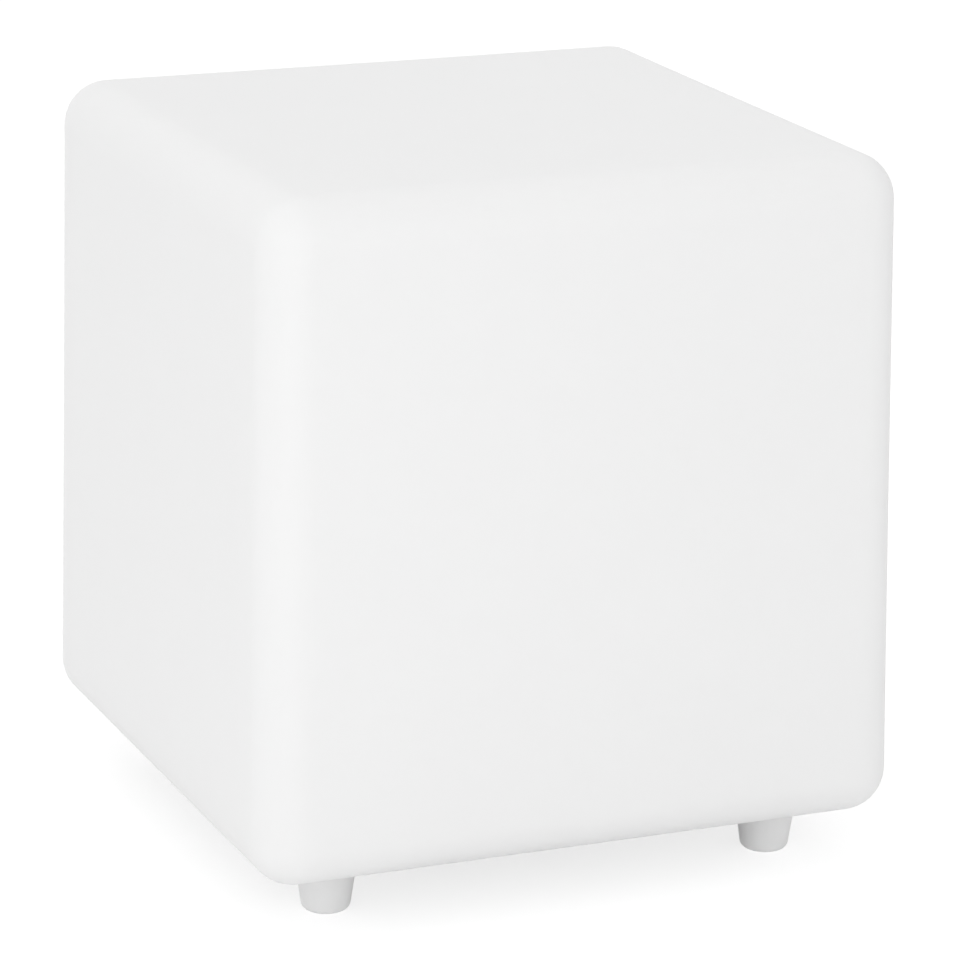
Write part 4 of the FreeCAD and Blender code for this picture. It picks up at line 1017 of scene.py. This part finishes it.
# ============================================================ the moulded cube
@dataclass
class MouldedShell:
    """Hollow cube with four hollow feet, a sunk seat and the opening for the light module."""

    finishes: Finishes
    half_width: float = 150.0 * MM
    height: float = 302.5 * MM
    foot_height: float = 24.5 * MM
    draft_degrees: float = 0.85
    edge_radius: float = 20.5 * MM
    wall: float = 3.0 * MM
    foot_inset: float = 45.4 * MM
    foot_root_radius: float = 14.2 * MM
    foot_tip_radius: float = 10.6 * MM
    foot_root_round: float = 3.0 * MM
    foot_tip_round: float = 3.6 * MM
    seat_depth: float = 5.0 * MM
    seat_width: float = 20.0 * MM
    seat_round: float = 0.9 * MM
    opening_clearance: float = 0.4 * MM
    insert_count: int = 6
    insert_radius: float = 4.0 * MM
    insert_length: float = 9.0 * MM
    insert_cover: float = 3.0 * MM
    boss_round: float = 2.0 * MM
    sink: float = 0.5 * MM
    ripple: float = 0.22 * MM
    ripple_size: float = 110.0 * MM
    ripple_seed: float = 3.0
    flat_cells: int = 24
    arc_cells: int = 8
    foot_segments: int = 72
    seat_segments: int = 144
    boss_segments: int = 32
    sharp_degrees: float = 40.0

    @property
    def tangent(self) -> float:
        """How far a side leans in for each metre of height."""
        return math.tan(math.radians(self.draft_degrees))

    @property
    def foot_places(self) -> list[Point]:
        """Axes of the four feet."""
        reach = self.half_width + self.height / 2 * self.tangent - self.foot_inset
        return [(sx * reach, sy * reach) for sx in (-1, 1) for sy in (-1, 1)]

    @property
    def opening_radius(self) -> float:
        """Radius of the opening, which the light dome passes with a clearance."""
        low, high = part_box("light_dome")
        return (high.x - low.x) / 2 + self.opening_clearance

    @property
    def insert_circle(self) -> float:
        """Radius of the circle that the inserts and their screws stand on."""
        return self.opening_radius + self.seat_width / 2

    def spacing(self, half: float, radius: float) -> list[float]:
        """Divides one axis of the cage: evenly over the flat, and for even arcs over an edge.

        Args:
            half: Half the cage's size along the axis.
            radius: Radius of the edge that the rule will make.

        Returns:
            Coordinates from -half to half.
        """
        flat = half - radius
        eighth = math.pi / 4
        arc = [flat + radius * math.tan(eighth * (i + 1) / self.arc_cells)
               for i in range(self.arc_cells)]
        even = [flat * (2 * i / self.flat_cells - 1) for i in range(self.flat_cells + 1)]
        return [-a for a in reversed(arc)] + even + arc

    def cage(self, bm: Build, inset: float) -> Loop:
        """Adds one skin of the cube as a square cage, open over the flat of its underside.

        Args:
            bm: The mesh to add to.
            inset: How far the skin lies inside the outer one.

        Returns:
            The loop of vertices round the open flat.
        """
        shaped = bm.verts.layers.float["shaped"]
        insets = bm.verts.layers.float["inset"]
        middle = self.foot_height + self.height / 2
        across = self.spacing(self.half_width - inset, self.edge_radius - inset)
        upright = self.spacing(self.height / 2 - inset, self.edge_radius - inset)
        last = len(across) - 1
        made: dict[tuple[int, int, int], bmesh.types.BMVert] = {}

        def vertex(key: tuple[int, int, int]) -> bmesh.types.BMVert:
            """Makes a vertex of the cage when it is first needed.

            Args:
                key: Its place in the lattice.

            Returns:
                The vertex.
            """
            if key not in made:
                i, j, k = key
                made[key] = bm.verts.new((across[i], across[j], middle + upright[k]))
                made[key][shaped] = 1.0
                made[key][insets] = inset
            return made[key]

        flat = range(self.arc_cells, self.arc_cells + self.flat_cells)
        spots = [(side, u, v) for side in (0, last) for u in range(last) for v in range(last)]
        for axis in range(3):
            for side, u, v in spots:
                if axis == 2 and side == 0 and u in flat and v in flat:
                    continue
                corners = [(u, v), (u + 1, v), (u + 1, v + 1), (u, v + 1)]
                bm.faces.new([vertex((*c[:axis], side, *c[axis:])) for c in corners])
        low, high = flat.start, flat.stop
        walk = [(i, low) for i in range(low, high)] + [(high, j) for j in range(low, high)]
        walk += [(i, high) for i in range(high, low, -1)] + [(low, j) for j in range(high, low, -1)]
        return [vertex((i, j, 0)) for i, j in walk]

    def foot(self, bm: Build, place: Point, inset: float) -> Loop:
        """Adds one skin of a foot, from the flat down to its tip.

        Args:
            bm: The mesh to add to.
            place: The foot's axis.
            inset: How far the skin lies inside the outer one.

        Returns:
            The ring where the foot leaves the flat.
        """
        top = self.foot_height + inset
        lean = (self.foot_root_radius - self.foot_tip_radius) / self.foot_height
        tip = self.foot_tip_radius - inset + lean * inset
        root = self.foot_tip_radius - inset + lean * top
        tip_round = self.foot_tip_round / 2 if inset else self.foot_tip_round
        return lathe(bm, rounded_profile([
            (root + 2 * self.foot_root_round, top, 0), (root, top, self.foot_root_round),
            (tip, inset, tip_round), (0.0, inset, 0)], steps=8), place, self.foot_segments)[0]

    def seat(self, bm: Build) -> tuple[Loop, Loop]:
        """Adds the sunk seat, the opening, and a closed boss round each insert.

        Args:
            bm: The mesh to add to.

        Returns:
            The ring at the recess's mouth, and the ring where the seat's back meets the floor.
        """
        under = self.foot_height
        seat = under + self.seat_depth
        back = seat + self.wall
        floor = under + self.wall
        inner = self.opening_radius
        outer = inner + self.seat_width
        behind = outer + self.wall
        corner = self.seat_round
        edge = corner / 3
        bore = self.insert_radius
        bore_top = seat + self.insert_length
        boss = bore + self.insert_cover
        boss_top = bore_top + self.insert_cover

        def turned(corners: Sequence[Corner], steps: int) -> tuple[Loop, Loop]:
            """Turns a rounded outline about the lamp's axis."""
            return lathe(bm, rounded_profile(corners, steps), segments=self.seat_segments)

        mouth, seat_rim = turned([(outer + 3 * corner, under, 0), (outer, under, corner),
                                  (outer, seat, edge), (outer - corner, seat, 0)], steps=4)
        near, far = turned([(inner + corner, seat, 0), (inner, seat, edge), (inner, back, edge),
                            (inner + corner, back, 0)], steps=3)
        top_rim, floor_rim = turned([(behind - 3 * corner, back, 0), (behind, back, corner),
                                     (behind, floor, corner),
                                     (behind + 3 * corner, floor, 0)], steps=4)
        pocket = [(bore, seat), (bore, bore_top), (0.0, bore_top)]
        dome = rounded_profile([(boss + corner, back, 0), (boss, back, corner / 2),
                                (boss, boss_top, self.boss_round), (0.0, boss_top, 0)], steps=4)
        places = places_on_circle(self.insert_count, self.insert_circle,
                                  180.0 / self.insert_count)
        pockets, bosses = ([lathe(bm, outline, place, self.boss_segments)[0] for place in places]
                           for outline in (pocket, dome))
        fill_flat(bm, seat_rim, [near, *pockets])
        fill_flat(bm, top_rim, [far, *bosses])
        return mouth, floor_rim

    def build(self) -> None:
        """Builds the shell and puts it on the lamp."""
        bm = bmesh.new()
        for name in ("shaped", "inset"):
            bm.verts.layers.float.new(name)
        insets = (0.0, self.wall)
        borders = [self.cage(bm, inset) for inset in insets]
        holes = [[ring] for ring in self.seat(bm)]
        for place in self.foot_places:
            for inset, rings in zip(insets, holes):
                rings.append(self.foot(bm, place, inset))
        for border, rings in zip(borders, holes):
            fill_flat(bm, border, rings)
        mesh = MouldRule().run(
            finished_mesh(bm, "moulded_shell_cage"), "moulded_shell", Half_Width=self.half_width,
            Half_Height=self.height / 2, Middle_Height=self.foot_height + self.height / 2,
            Edge_Radius=self.edge_radius, Draft=self.tangent, Sink=self.sink, Ripple=self.ripple,
            Ripple_Size=self.ripple_size, Seed=self.ripple_seed,
            Material=self.finishes.get("shell_plastic"))
        piece = link("moulded_shell", smooth(mesh, self.sharp_degrees))
        seat_piece(piece, "lamp", "shell_plastic", "cube_shell")


# ============================================================ fasteners and LEDs
class Drive(Enum):
    """How a screw's head is shaped."""

    COUNTERSUNK = "countersunk"
    PAN = "pan"


@dataclass
class ScrewSet:
    """Equal cross-head screws on a circle, each stopped at its own turn.

    A share is a part of the head's height (edge_share, crown_share), of the shank (tip_share) or
    of the cross's rim (the rest).
    """

    node: str
    slot: str
    drive: Drive
    count: int
    circle: float
    first_degrees: float
    seed: int
    shank: float
    head: float
    head_height: float
    cross: float
    edge_share: float = 0.12
    crown_share: float = 0.45
    tip_share: float = 0.8
    recess_share: float = 0.55
    arm_share: float = 0.78
    arm_width_share: float = 0.2
    recess_taper: float = 0.72
    sharp_degrees: float = 35.0

    def screw(self, low: float, high: float) -> Mesh:
        """Makes one screw with its axis at the origin.

        Args:
            low: Level of its lower end.
            high: Level of its upper end.

        Returns:
            The screw's mesh, cross recess included.
        """
        bm = bmesh.new()
        edge = self.head_height * self.edge_share
        sunk = self.drive is Drive.COUNTERSUNK
        face, tip, up = (low, high, 1) if sunk else (high, low, -1)
        seat = face + up * self.head_height
        under = [(self.shank, seat, 0)] if sunk else [(self.head, seat, 0),
                                                      (self.shank, seat, edge)]
        crown = edge if sunk else self.head_height * self.crown_share
        rim, _ = lathe(bm, rounded_profile([
            (self.cross, face, 0), (self.head, face, crown), *under,
            (self.shank, tip - up * edge, 0), (self.shank * self.tip_share, tip, 0),
            (0.0, tip, 0)], steps=4))
        self.cross_recess(bm, rim, face, face + up * self.cross * self.recess_share)
        return finished_mesh(bm, self.node + "_one", self.sharp_degrees)

    def cross_recess(self, bm: Build, rim: Loop, face: float, floor: float) -> None:
        """Fills the middle of a head with a tapered cross recess.

        Args:
            bm: The screw's mesh.
            rim: Ring of vertices that the recess is framed by.
            face: Level of the head's face.
            floor: Level of the recess's floor.
        """
        arm = self.cross * self.arm_share
        width = self.cross * self.arm_width_share
        points = [Matrix.Rotation(quarter * math.pi / 2, 2) @ Vector(corner)
                  for quarter in range(4)
                  for corner in ((width, width), (width, arm), (-width, arm))]
        top, bottom = ([bm.verts.new((p.x * size, p.y * size, level)) for p in points]
                       for size, level in ((1.0, face), (self.recess_taper, floor)))
        join_loops(bm, [top, bottom])
        bm.faces.new(bottom)
        fill_flat(bm, rim, [top])

    def build(self, circle: CircleRule, finishes: Finishes) -> None:
        """Builds the whole set in place of its solids.

        Args:
            circle: The rule that lays copies on a circle.
            finishes: Where the finish comes from.
        """
        low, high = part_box(self.node)
        name = self.node + "_set"
        mesh = circle.run(self.screw(low.z, high.z), name, Count=self.count, Radius=self.circle,
                          First_Angle=math.radians(self.first_degrees), Own_Turn=math.pi / 2,
                          Seed=self.seed, Material=finishes.get(self.slot))
        seat_piece(link(name, smooth(mesh, self.sharp_degrees)), "lamp", self.slot, self.node)


def screw_sets(shell: MouldedShell) -> list[ScrewSet]:
    """Lists the screws that stand on circles round the lamp's axis.

    Args:
        shell: The shell, whose inserts take the largest ones.

    Returns:
        The sets.
    """
    small = {"slot": "zinc_screws", "drive": Drive.PAN, "count": 4, "shank": 1.3 * MM,
             "head": 2.6 * MM, "head_height": 1.7 * MM, "cross": 1.7 * MM}
    tray_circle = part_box("tray_screws")[1].x - small["head"]
    led_circle = (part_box("led_board_screws")[1].x - small["head"]) * math.sqrt(2.0)
    return [
        ScrewSet("base_screws", "stainless_screws", Drive.COUNTERSUNK, shell.insert_count,
                 shell.insert_circle, 180.0 / shell.insert_count, 5, 2.0 * MM, 4.0 * MM,
                 2.2 * MM, 2.6 * MM),
        ScrewSet("tray_screws", circle=tray_circle, first_degrees=0.0, seed=2, **small),
        ScrewSet("led_board_screws", circle=led_circle, first_degrees=45.0, seed=9, **small),
    ]


@dataclass
class LedRings:
    """Square LED packages in rings, each with a round window of phosphor."""

    size: float = 5.0 * MM
    window_radius: float = 1.9 * MM
    window_floor_radius: float = 1.786 * MM
    window_depth: float = 0.3 * MM
    edge_chamfer: float = 0.15 * MM
    counts: tuple[int, ...] = (12, 8, 4)
    insets: tuple[float, ...] = (7.0 * MM, 23.0 * MM, 38.0 * MM)
    window_segments: int = 24
    sharp_degrees: float = 30.0

    def package(self, low: float, high: float) -> Mesh:
        """Makes one package with its axis at the origin.

        Args:
            low: Level of its underside.
            high: Level of its top.

        Returns:
            The package's mesh; the attribute "phosphor" is 1 on the window.
        """
        bm = bmesh.new()
        phosphor = bm.faces.layers.float.new("phosphor")
        half = self.size / 2
        chamfer = self.edge_chamfer
        loops = [[bm.verts.new((sx * reach, sy * reach, level))
                  for sx, sy in ((-1, -1), (1, -1), (1, 1), (-1, 1))]
                 for reach, level in ((half, low), (half, high - chamfer), (half - chamfer, high))]
        bm.faces.new(loops[0])
        join_loops(bm, loops)
        rim, base = lathe(bm, [(self.window_radius, high),
                               (self.window_floor_radius, high - self.window_depth)],
                          segments=self.window_segments)
        fill_flat(bm, loops[-1], [rim])
        bm.faces.new(base)[phosphor] = 1.0
        return finished_mesh(bm, "led_package_one", self.sharp_degrees)

    def build(self, circle: CircleRule, finishes: Finishes) -> None:
        """Builds every ring in place of the packages' solids.

        Args:
            circle: The rule that lays copies on a circle.
            finishes: Where the finish comes from.
        """
        low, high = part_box("led_chips")
        board_low, board_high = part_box("led_board")
        rim = (board_high.x - board_low.x) / 2
        material = finishes.get("led_package")
        rings = [circle.run(self.package(low.z, high.z), "led_ring", Count=count,
                            Radius=rim - inset, Material=material)
                 for count, inset in zip(self.counts, self.insets)]
        piece = joined_piece("led_rings", rings, material, self.sharp_degrees)
        seat_piece(piece, "lamp", "led_package", "led_chips")


# ============================================================ the socket's soft cover
@dataclass
class PortCover:
    """Silicone cover of the charging socket, with a grip tab and a strap that bends as it opens."""

    finishes: Finishes
    disc_thickness: float = 1.6 * MM
    disc_round: float = 0.55 * MM
    hinge_offset: float = 13.0 * MM
    plug_radius: float = 6.65 * MM
    plug_end_radius: float = 6.15 * MM
    plug_root: float = 0.35 * MM
    strap_width: float = 6.0 * MM
    strap_thickness: float = 1.0 * MM
    strap_corner: float = 0.5 * MM
    tab_length: float = 4.5 * MM
    tab_width: float = 7.0 * MM
    tab_corner: float = 2.1 * MM
    edge: float = 0.25 * MM
    rib_count: int = 3
    rib_pitch: float = 1.1 * MM
    rib_radius: float = 0.4 * MM
    rib_end_radius: float = 0.12 * MM
    rib_length: float = 4.48 * MM
    rib_margin: float = 1.1 * MM
    rib_segments: int = 12
    groove_radius: float = 7.8 * MM
    groove_width: float = 0.7 * MM
    groove_depth: float = 0.3 * MM
    bend_half: float = 1.1 * MM
    web_reach: float = 3.4 * MM
    web_skin: float = 0.04 * MM
    web_segments: int = 32
    slot: str = "cover_silicone"

    @property
    def hinge(self) -> Vector:
        """Middle of the line that the strap bends on."""
        half = self.strap_thickness / 2
        return Vector((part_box("port_cover")[0].x + half, 0.0, self.strap_top - half))

    @property
    def strap_top(self) -> float:
        """Level of the strap's upper face, which is also the disc's."""
        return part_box("port_cover")[0].z + self.disc_thickness

    def ribs(self, end: float, level: float) -> Mesh:
        """Makes the half-round grip ribs across the tab.

        Args:
            end: Where the tab ends.
            level: The tab's lower face.

        Returns:
            The ribs' mesh.
        """
        bm = bmesh.new()
        half = self.rib_length / 2
        turns = [math.tau * i / self.rib_segments for i in range(self.rib_segments)]
        loops = [[bm.verts.new((radius * math.cos(t), y, radius * math.sin(t))) for t in turns]
                 for y, radius in ((-half, self.rib_end_radius),
                                   (self.rib_radius - half, self.rib_radius),
                                   (half - self.rib_radius, self.rib_radius),
                                   (half, self.rib_end_radius))]
        join_loops(bm, loops, capped=True)
        first = end - self.rib_margin - (self.rib_count - 1) * self.rib_pitch
        return LineRule().run(finished_mesh(bm, "grip_rib_one", sharp_degrees=50.0), "grip_ribs",
                              Count=self.rib_count, Start=(first, 0.0, level),
                              Pitch=self.rib_pitch, Material=self.finishes.get(self.slot))

    def cover(self) -> None:
        """Builds the disc, its plug, the tab with its ribs, and the strap up to the bend."""
        low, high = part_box("port_cover")
        top = self.strap_top
        under = top - self.strap_thickness
        centre = self.hinge.x + self.hinge_offset
        radius = high.x - self.tab_length - centre
        edge = self.edge
        start = self.groove_radius - self.groove_width / 2
        end = start + self.groove_width
        groove = low.z + self.groove_depth
        bm = bmesh.new()
        lathe(bm, rounded_profile([
            (0.0, low.z, 0), (start, low.z, edge / 2), (start + edge, groove, edge / 3),
            (end - edge, groove, edge / 3), (end, low.z, edge / 2),
            (radius, low.z, self.disc_round), (radius, top, edge), (self.plug_radius, top, 0),
            (self.plug_radius, top + self.plug_root, 0),
            (self.plug_end_radius, high.z, self.disc_round), (0.0, high.z, 0)]),
              (centre, 0.0), segments=72)
        for first, last, width, corner in (
                (centre, high.x, self.tab_width, self.tab_corner),
                (self.hinge.x + self.bend_half, centre, self.strap_width, self.strap_corner)):
            soft_slab(bm, Vector((first, -width / 2, under)), Vector((last, width / 2, top)),
                      corner, edge)
        parts = [finished_mesh(bm, "port_cover_body"), self.ribs(high.x, under)]
        piece = joined_piece("soft_cover", parts, self.finishes.get(self.slot),
                             sharp_degrees=40.0)
        seat_piece(piece, "cover", self.slot, "port_cover")

    def web(self) -> None:
        """Builds the part of the strap that bends, from the anchor to the cover."""
        hinge = self.hinge
        section = rounded_rectangle(self.strap_width + 2 * self.web_skin,
                                    self.strap_thickness + 2 * self.web_skin, self.edge, steps=3)
        bm = bmesh.new()
        places = [hinge.x + self.web_reach * (2 * i / self.web_segments - 1)
                  for i in range(self.web_segments + 1)]
        join_loops(bm, [[bm.verts.new((x, y, hinge.z + z)) for y, z in section] for x in places],
                   capped=True)
        mesh = finished_mesh(bm, "strap_web", sharp_degrees=50.0)
        mesh.materials.append(self.finishes.get(self.slot))
        piece = link("strap_web", mesh)
        reach = Vector((self.bend_half, 0.0, 0.0))
        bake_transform(piece, "lamp", "cover", hinge - reach, hinge + reach)
        log.info("%s: %d faces between lamp and cover", piece.name, len(mesh.polygons))

    def build(self) -> None:
        """Builds the cover and the bending part of its strap."""
        self.cover()
        self.web()


# ============================================================ solids that keep their shape
@dataclass
class CarriedSolids:
    """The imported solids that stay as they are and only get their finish."""

    finishes: Finishes

    def dress(self) -> None:
        """Gives every solid the material of its slot in the record."""
        slots = {part["node"]: part["material_slot"] for part in frame["record"]["subparts"]}
        for name, solid in frame["nodes"].items():
            solid.data.materials.clear()
            solid.data.materials.append(self.finishes.get(slots[name]))
            log.info("%s: solid, finish %s", name, slots[name])


# ============================================================ studio
@dataclass
class Studio:
    """Camera at the photograph's viewpoint, pale floor, soft lights and white surroundings."""

    camera_place: Corner = (-0.75921, -1.84923, 0.73856)
    heading: float = -0.3936
    pitch: float = 0.2836
    roll: float = 0.0116
    lens: float = 169.73
    sensor: float = 36.0
    clip_start: float = 0.05
    clip_end: float = 200.0
    horizon_strength: float = 0.855
    zenith_strength: float = 1.075
    zenith_start: float = 0.75
    right_share: float = 0.72
    key_power: float = 1.13
    key_size: float = 0.45
    key_distance: float = 1.1
    key_aim: Corner = (0.0, 0.0, 0.17)
    key_direction: Corner = (-0.40, -0.82, 0.24)
    floor_tone: float = 0.96
    floor_glow: float = 0.72
    floor_share: float = 0.36
    floor_reach: float = 30.0
    floor_touch: float = 1.0 * MM

    def camera(self) -> None:
        """Makes the scene's camera."""
        data = bpy.data.cameras.new("camera")
        data.lens, data.sensor_width = self.lens, self.sensor
        data.clip_start, data.clip_end = self.clip_start, self.clip_end
        camera = link("camera", data)
        camera.matrix_world = (Matrix.Translation(self.camera_place)
                               @ Matrix.Rotation(self.heading, 4, "Z")
                               @ Matrix.Rotation(math.pi / 2 - self.pitch, 4, "X")
                               @ Matrix.Rotation(self.roll, 4, "Z"))
        bpy.context.scene.camera = camera

    def seen_white(self, graph: Graph) -> Socket:
        """Tells rays from the camera, or sent on by metal or glass, from others.

        Args:
            graph: The graph to add to.

        Returns:
            1 for such rays and 0 for others.
        """
        path = graph.add("ShaderNodeLightPath").outputs
        seen = graph.math("MAXIMUM", path["Is Camera Ray"], path["Is Glossy Ray"])
        return graph.math("MAXIMUM", seen, path["Is Transmission Ray"])

    def world(self) -> None:
        """Makes soft surroundings: brightest overhead, dimmer on the right, white where seen."""
        world = bpy.data.worlds.new("surroundings")
        bpy.context.scene.world = world
        world.use_nodes = True
        graph = Graph(world.node_tree)
        sideways, _, rise = graph.split(graph.add("ShaderNodeTexCoord").outputs["Generated"])
        upper = graph.between(rise, 0.0, self.zenith_start, self.horizon_strength,
                              self.zenith_strength)
        light = graph.product(upper, graph.between(sideways, 0.0, 1.0, 1.0, self.right_share))
        strength = graph.add("ShaderNodeMix", {"Factor": self.seen_white(graph), "A": light,
                                               "B": 1.0}).outputs["Result"]
        sky = graph.get("ShaderNodeBackground", {"Color": (1, 1, 1), "Strength": strength})
        graph.add("ShaderNodeOutputWorld", {"Surface": sky})

    def key_light(self) -> None:
        """Makes the large soft light in front, to the left and a little above."""
        data = bpy.data.lights.new("key", "AREA")
        data.shape = "DISK"
        data.size = self.key_size
        data.energy = self.key_power
        light = link("key", data)
        direction = Vector(self.key_direction).normalized()
        light.location = Vector(self.key_aim) + direction * self.key_distance
        light.rotation_euler = direction.to_track_quat("Z", "Y").to_euler()

    def floor(self) -> None:
        """Makes the pale floor: white to the camera, with a soft shadow.

        It is clear to the camera from below, and to light that sets out from the feet's tips, so
        that the underside can be looked at.
        """
        bm = bmesh.new()
        bmesh.ops.create_grid(bm, x_segments=1, y_segments=1, size=self.floor_reach)
        floor = link("floor", finished_mesh(bm, "floor"))
        material = bpy.data.materials.new("floor_paint")
        material.use_nodes = True
        graph = Graph(material.node_tree)
        seen = self.seen_white(graph)
        tone = graph.math("MULTIPLY_ADD", seen, self.floor_share - self.floor_tone, self.floor_tone)
        matt = graph.get("ShaderNodeBsdfDiffuse", {"Color": graph.combine(tone, tone, tone)})
        glow = graph.get("ShaderNodeEmission", {"Strength": graph.product(seen, self.floor_glow)})
        both = graph.get("ShaderNodeAddShader", {0: matt, 1: glow})
        path = graph.add("ShaderNodeLightPath").outputs
        under = graph.add("ShaderNodeNewGeometry").outputs["Backfacing"]
        below = graph.product(path["Is Camera Ray"], under)
        touching = graph.math("LESS_THAN", path["Ray Length"], self.floor_touch)
        clear = graph.get("ShaderNodeBsdfTransparent")
        shown = graph.get("ShaderNodeMixShader", {0: graph.math("MAXIMUM", below, touching),
                                                  1: both, 2: clear})
        graph.add("ShaderNodeOutputMaterial", {"Surface": shown})
        floor.data.materials.append(material)

    def build(self) -> None:
        """Makes the camera, the surroundings, the light and the floor."""
        self.camera()
        self.world()
        self.key_light()
        self.floor()
        bpy.context.scene.view_settings.view_transform = "Standard"


def main() -> None:
    """Builds the lamp's pieces and the studio round them."""
    logging.basicConfig(level=logging.INFO, format="%(name)s: %(message)s")
    finishes = Finishes()
    CarriedSolids(finishes).dress()
    shell = MouldedShell(finishes)
    shell.build()
    circle = CircleRule()
    for screws in screw_sets(shell):
        screws.build(circle, finishes)
    LedRings().build(circle, finishes)
    PortCover(finishes).build()
    Studio().build()


if __name__ == "__main__":
    main()
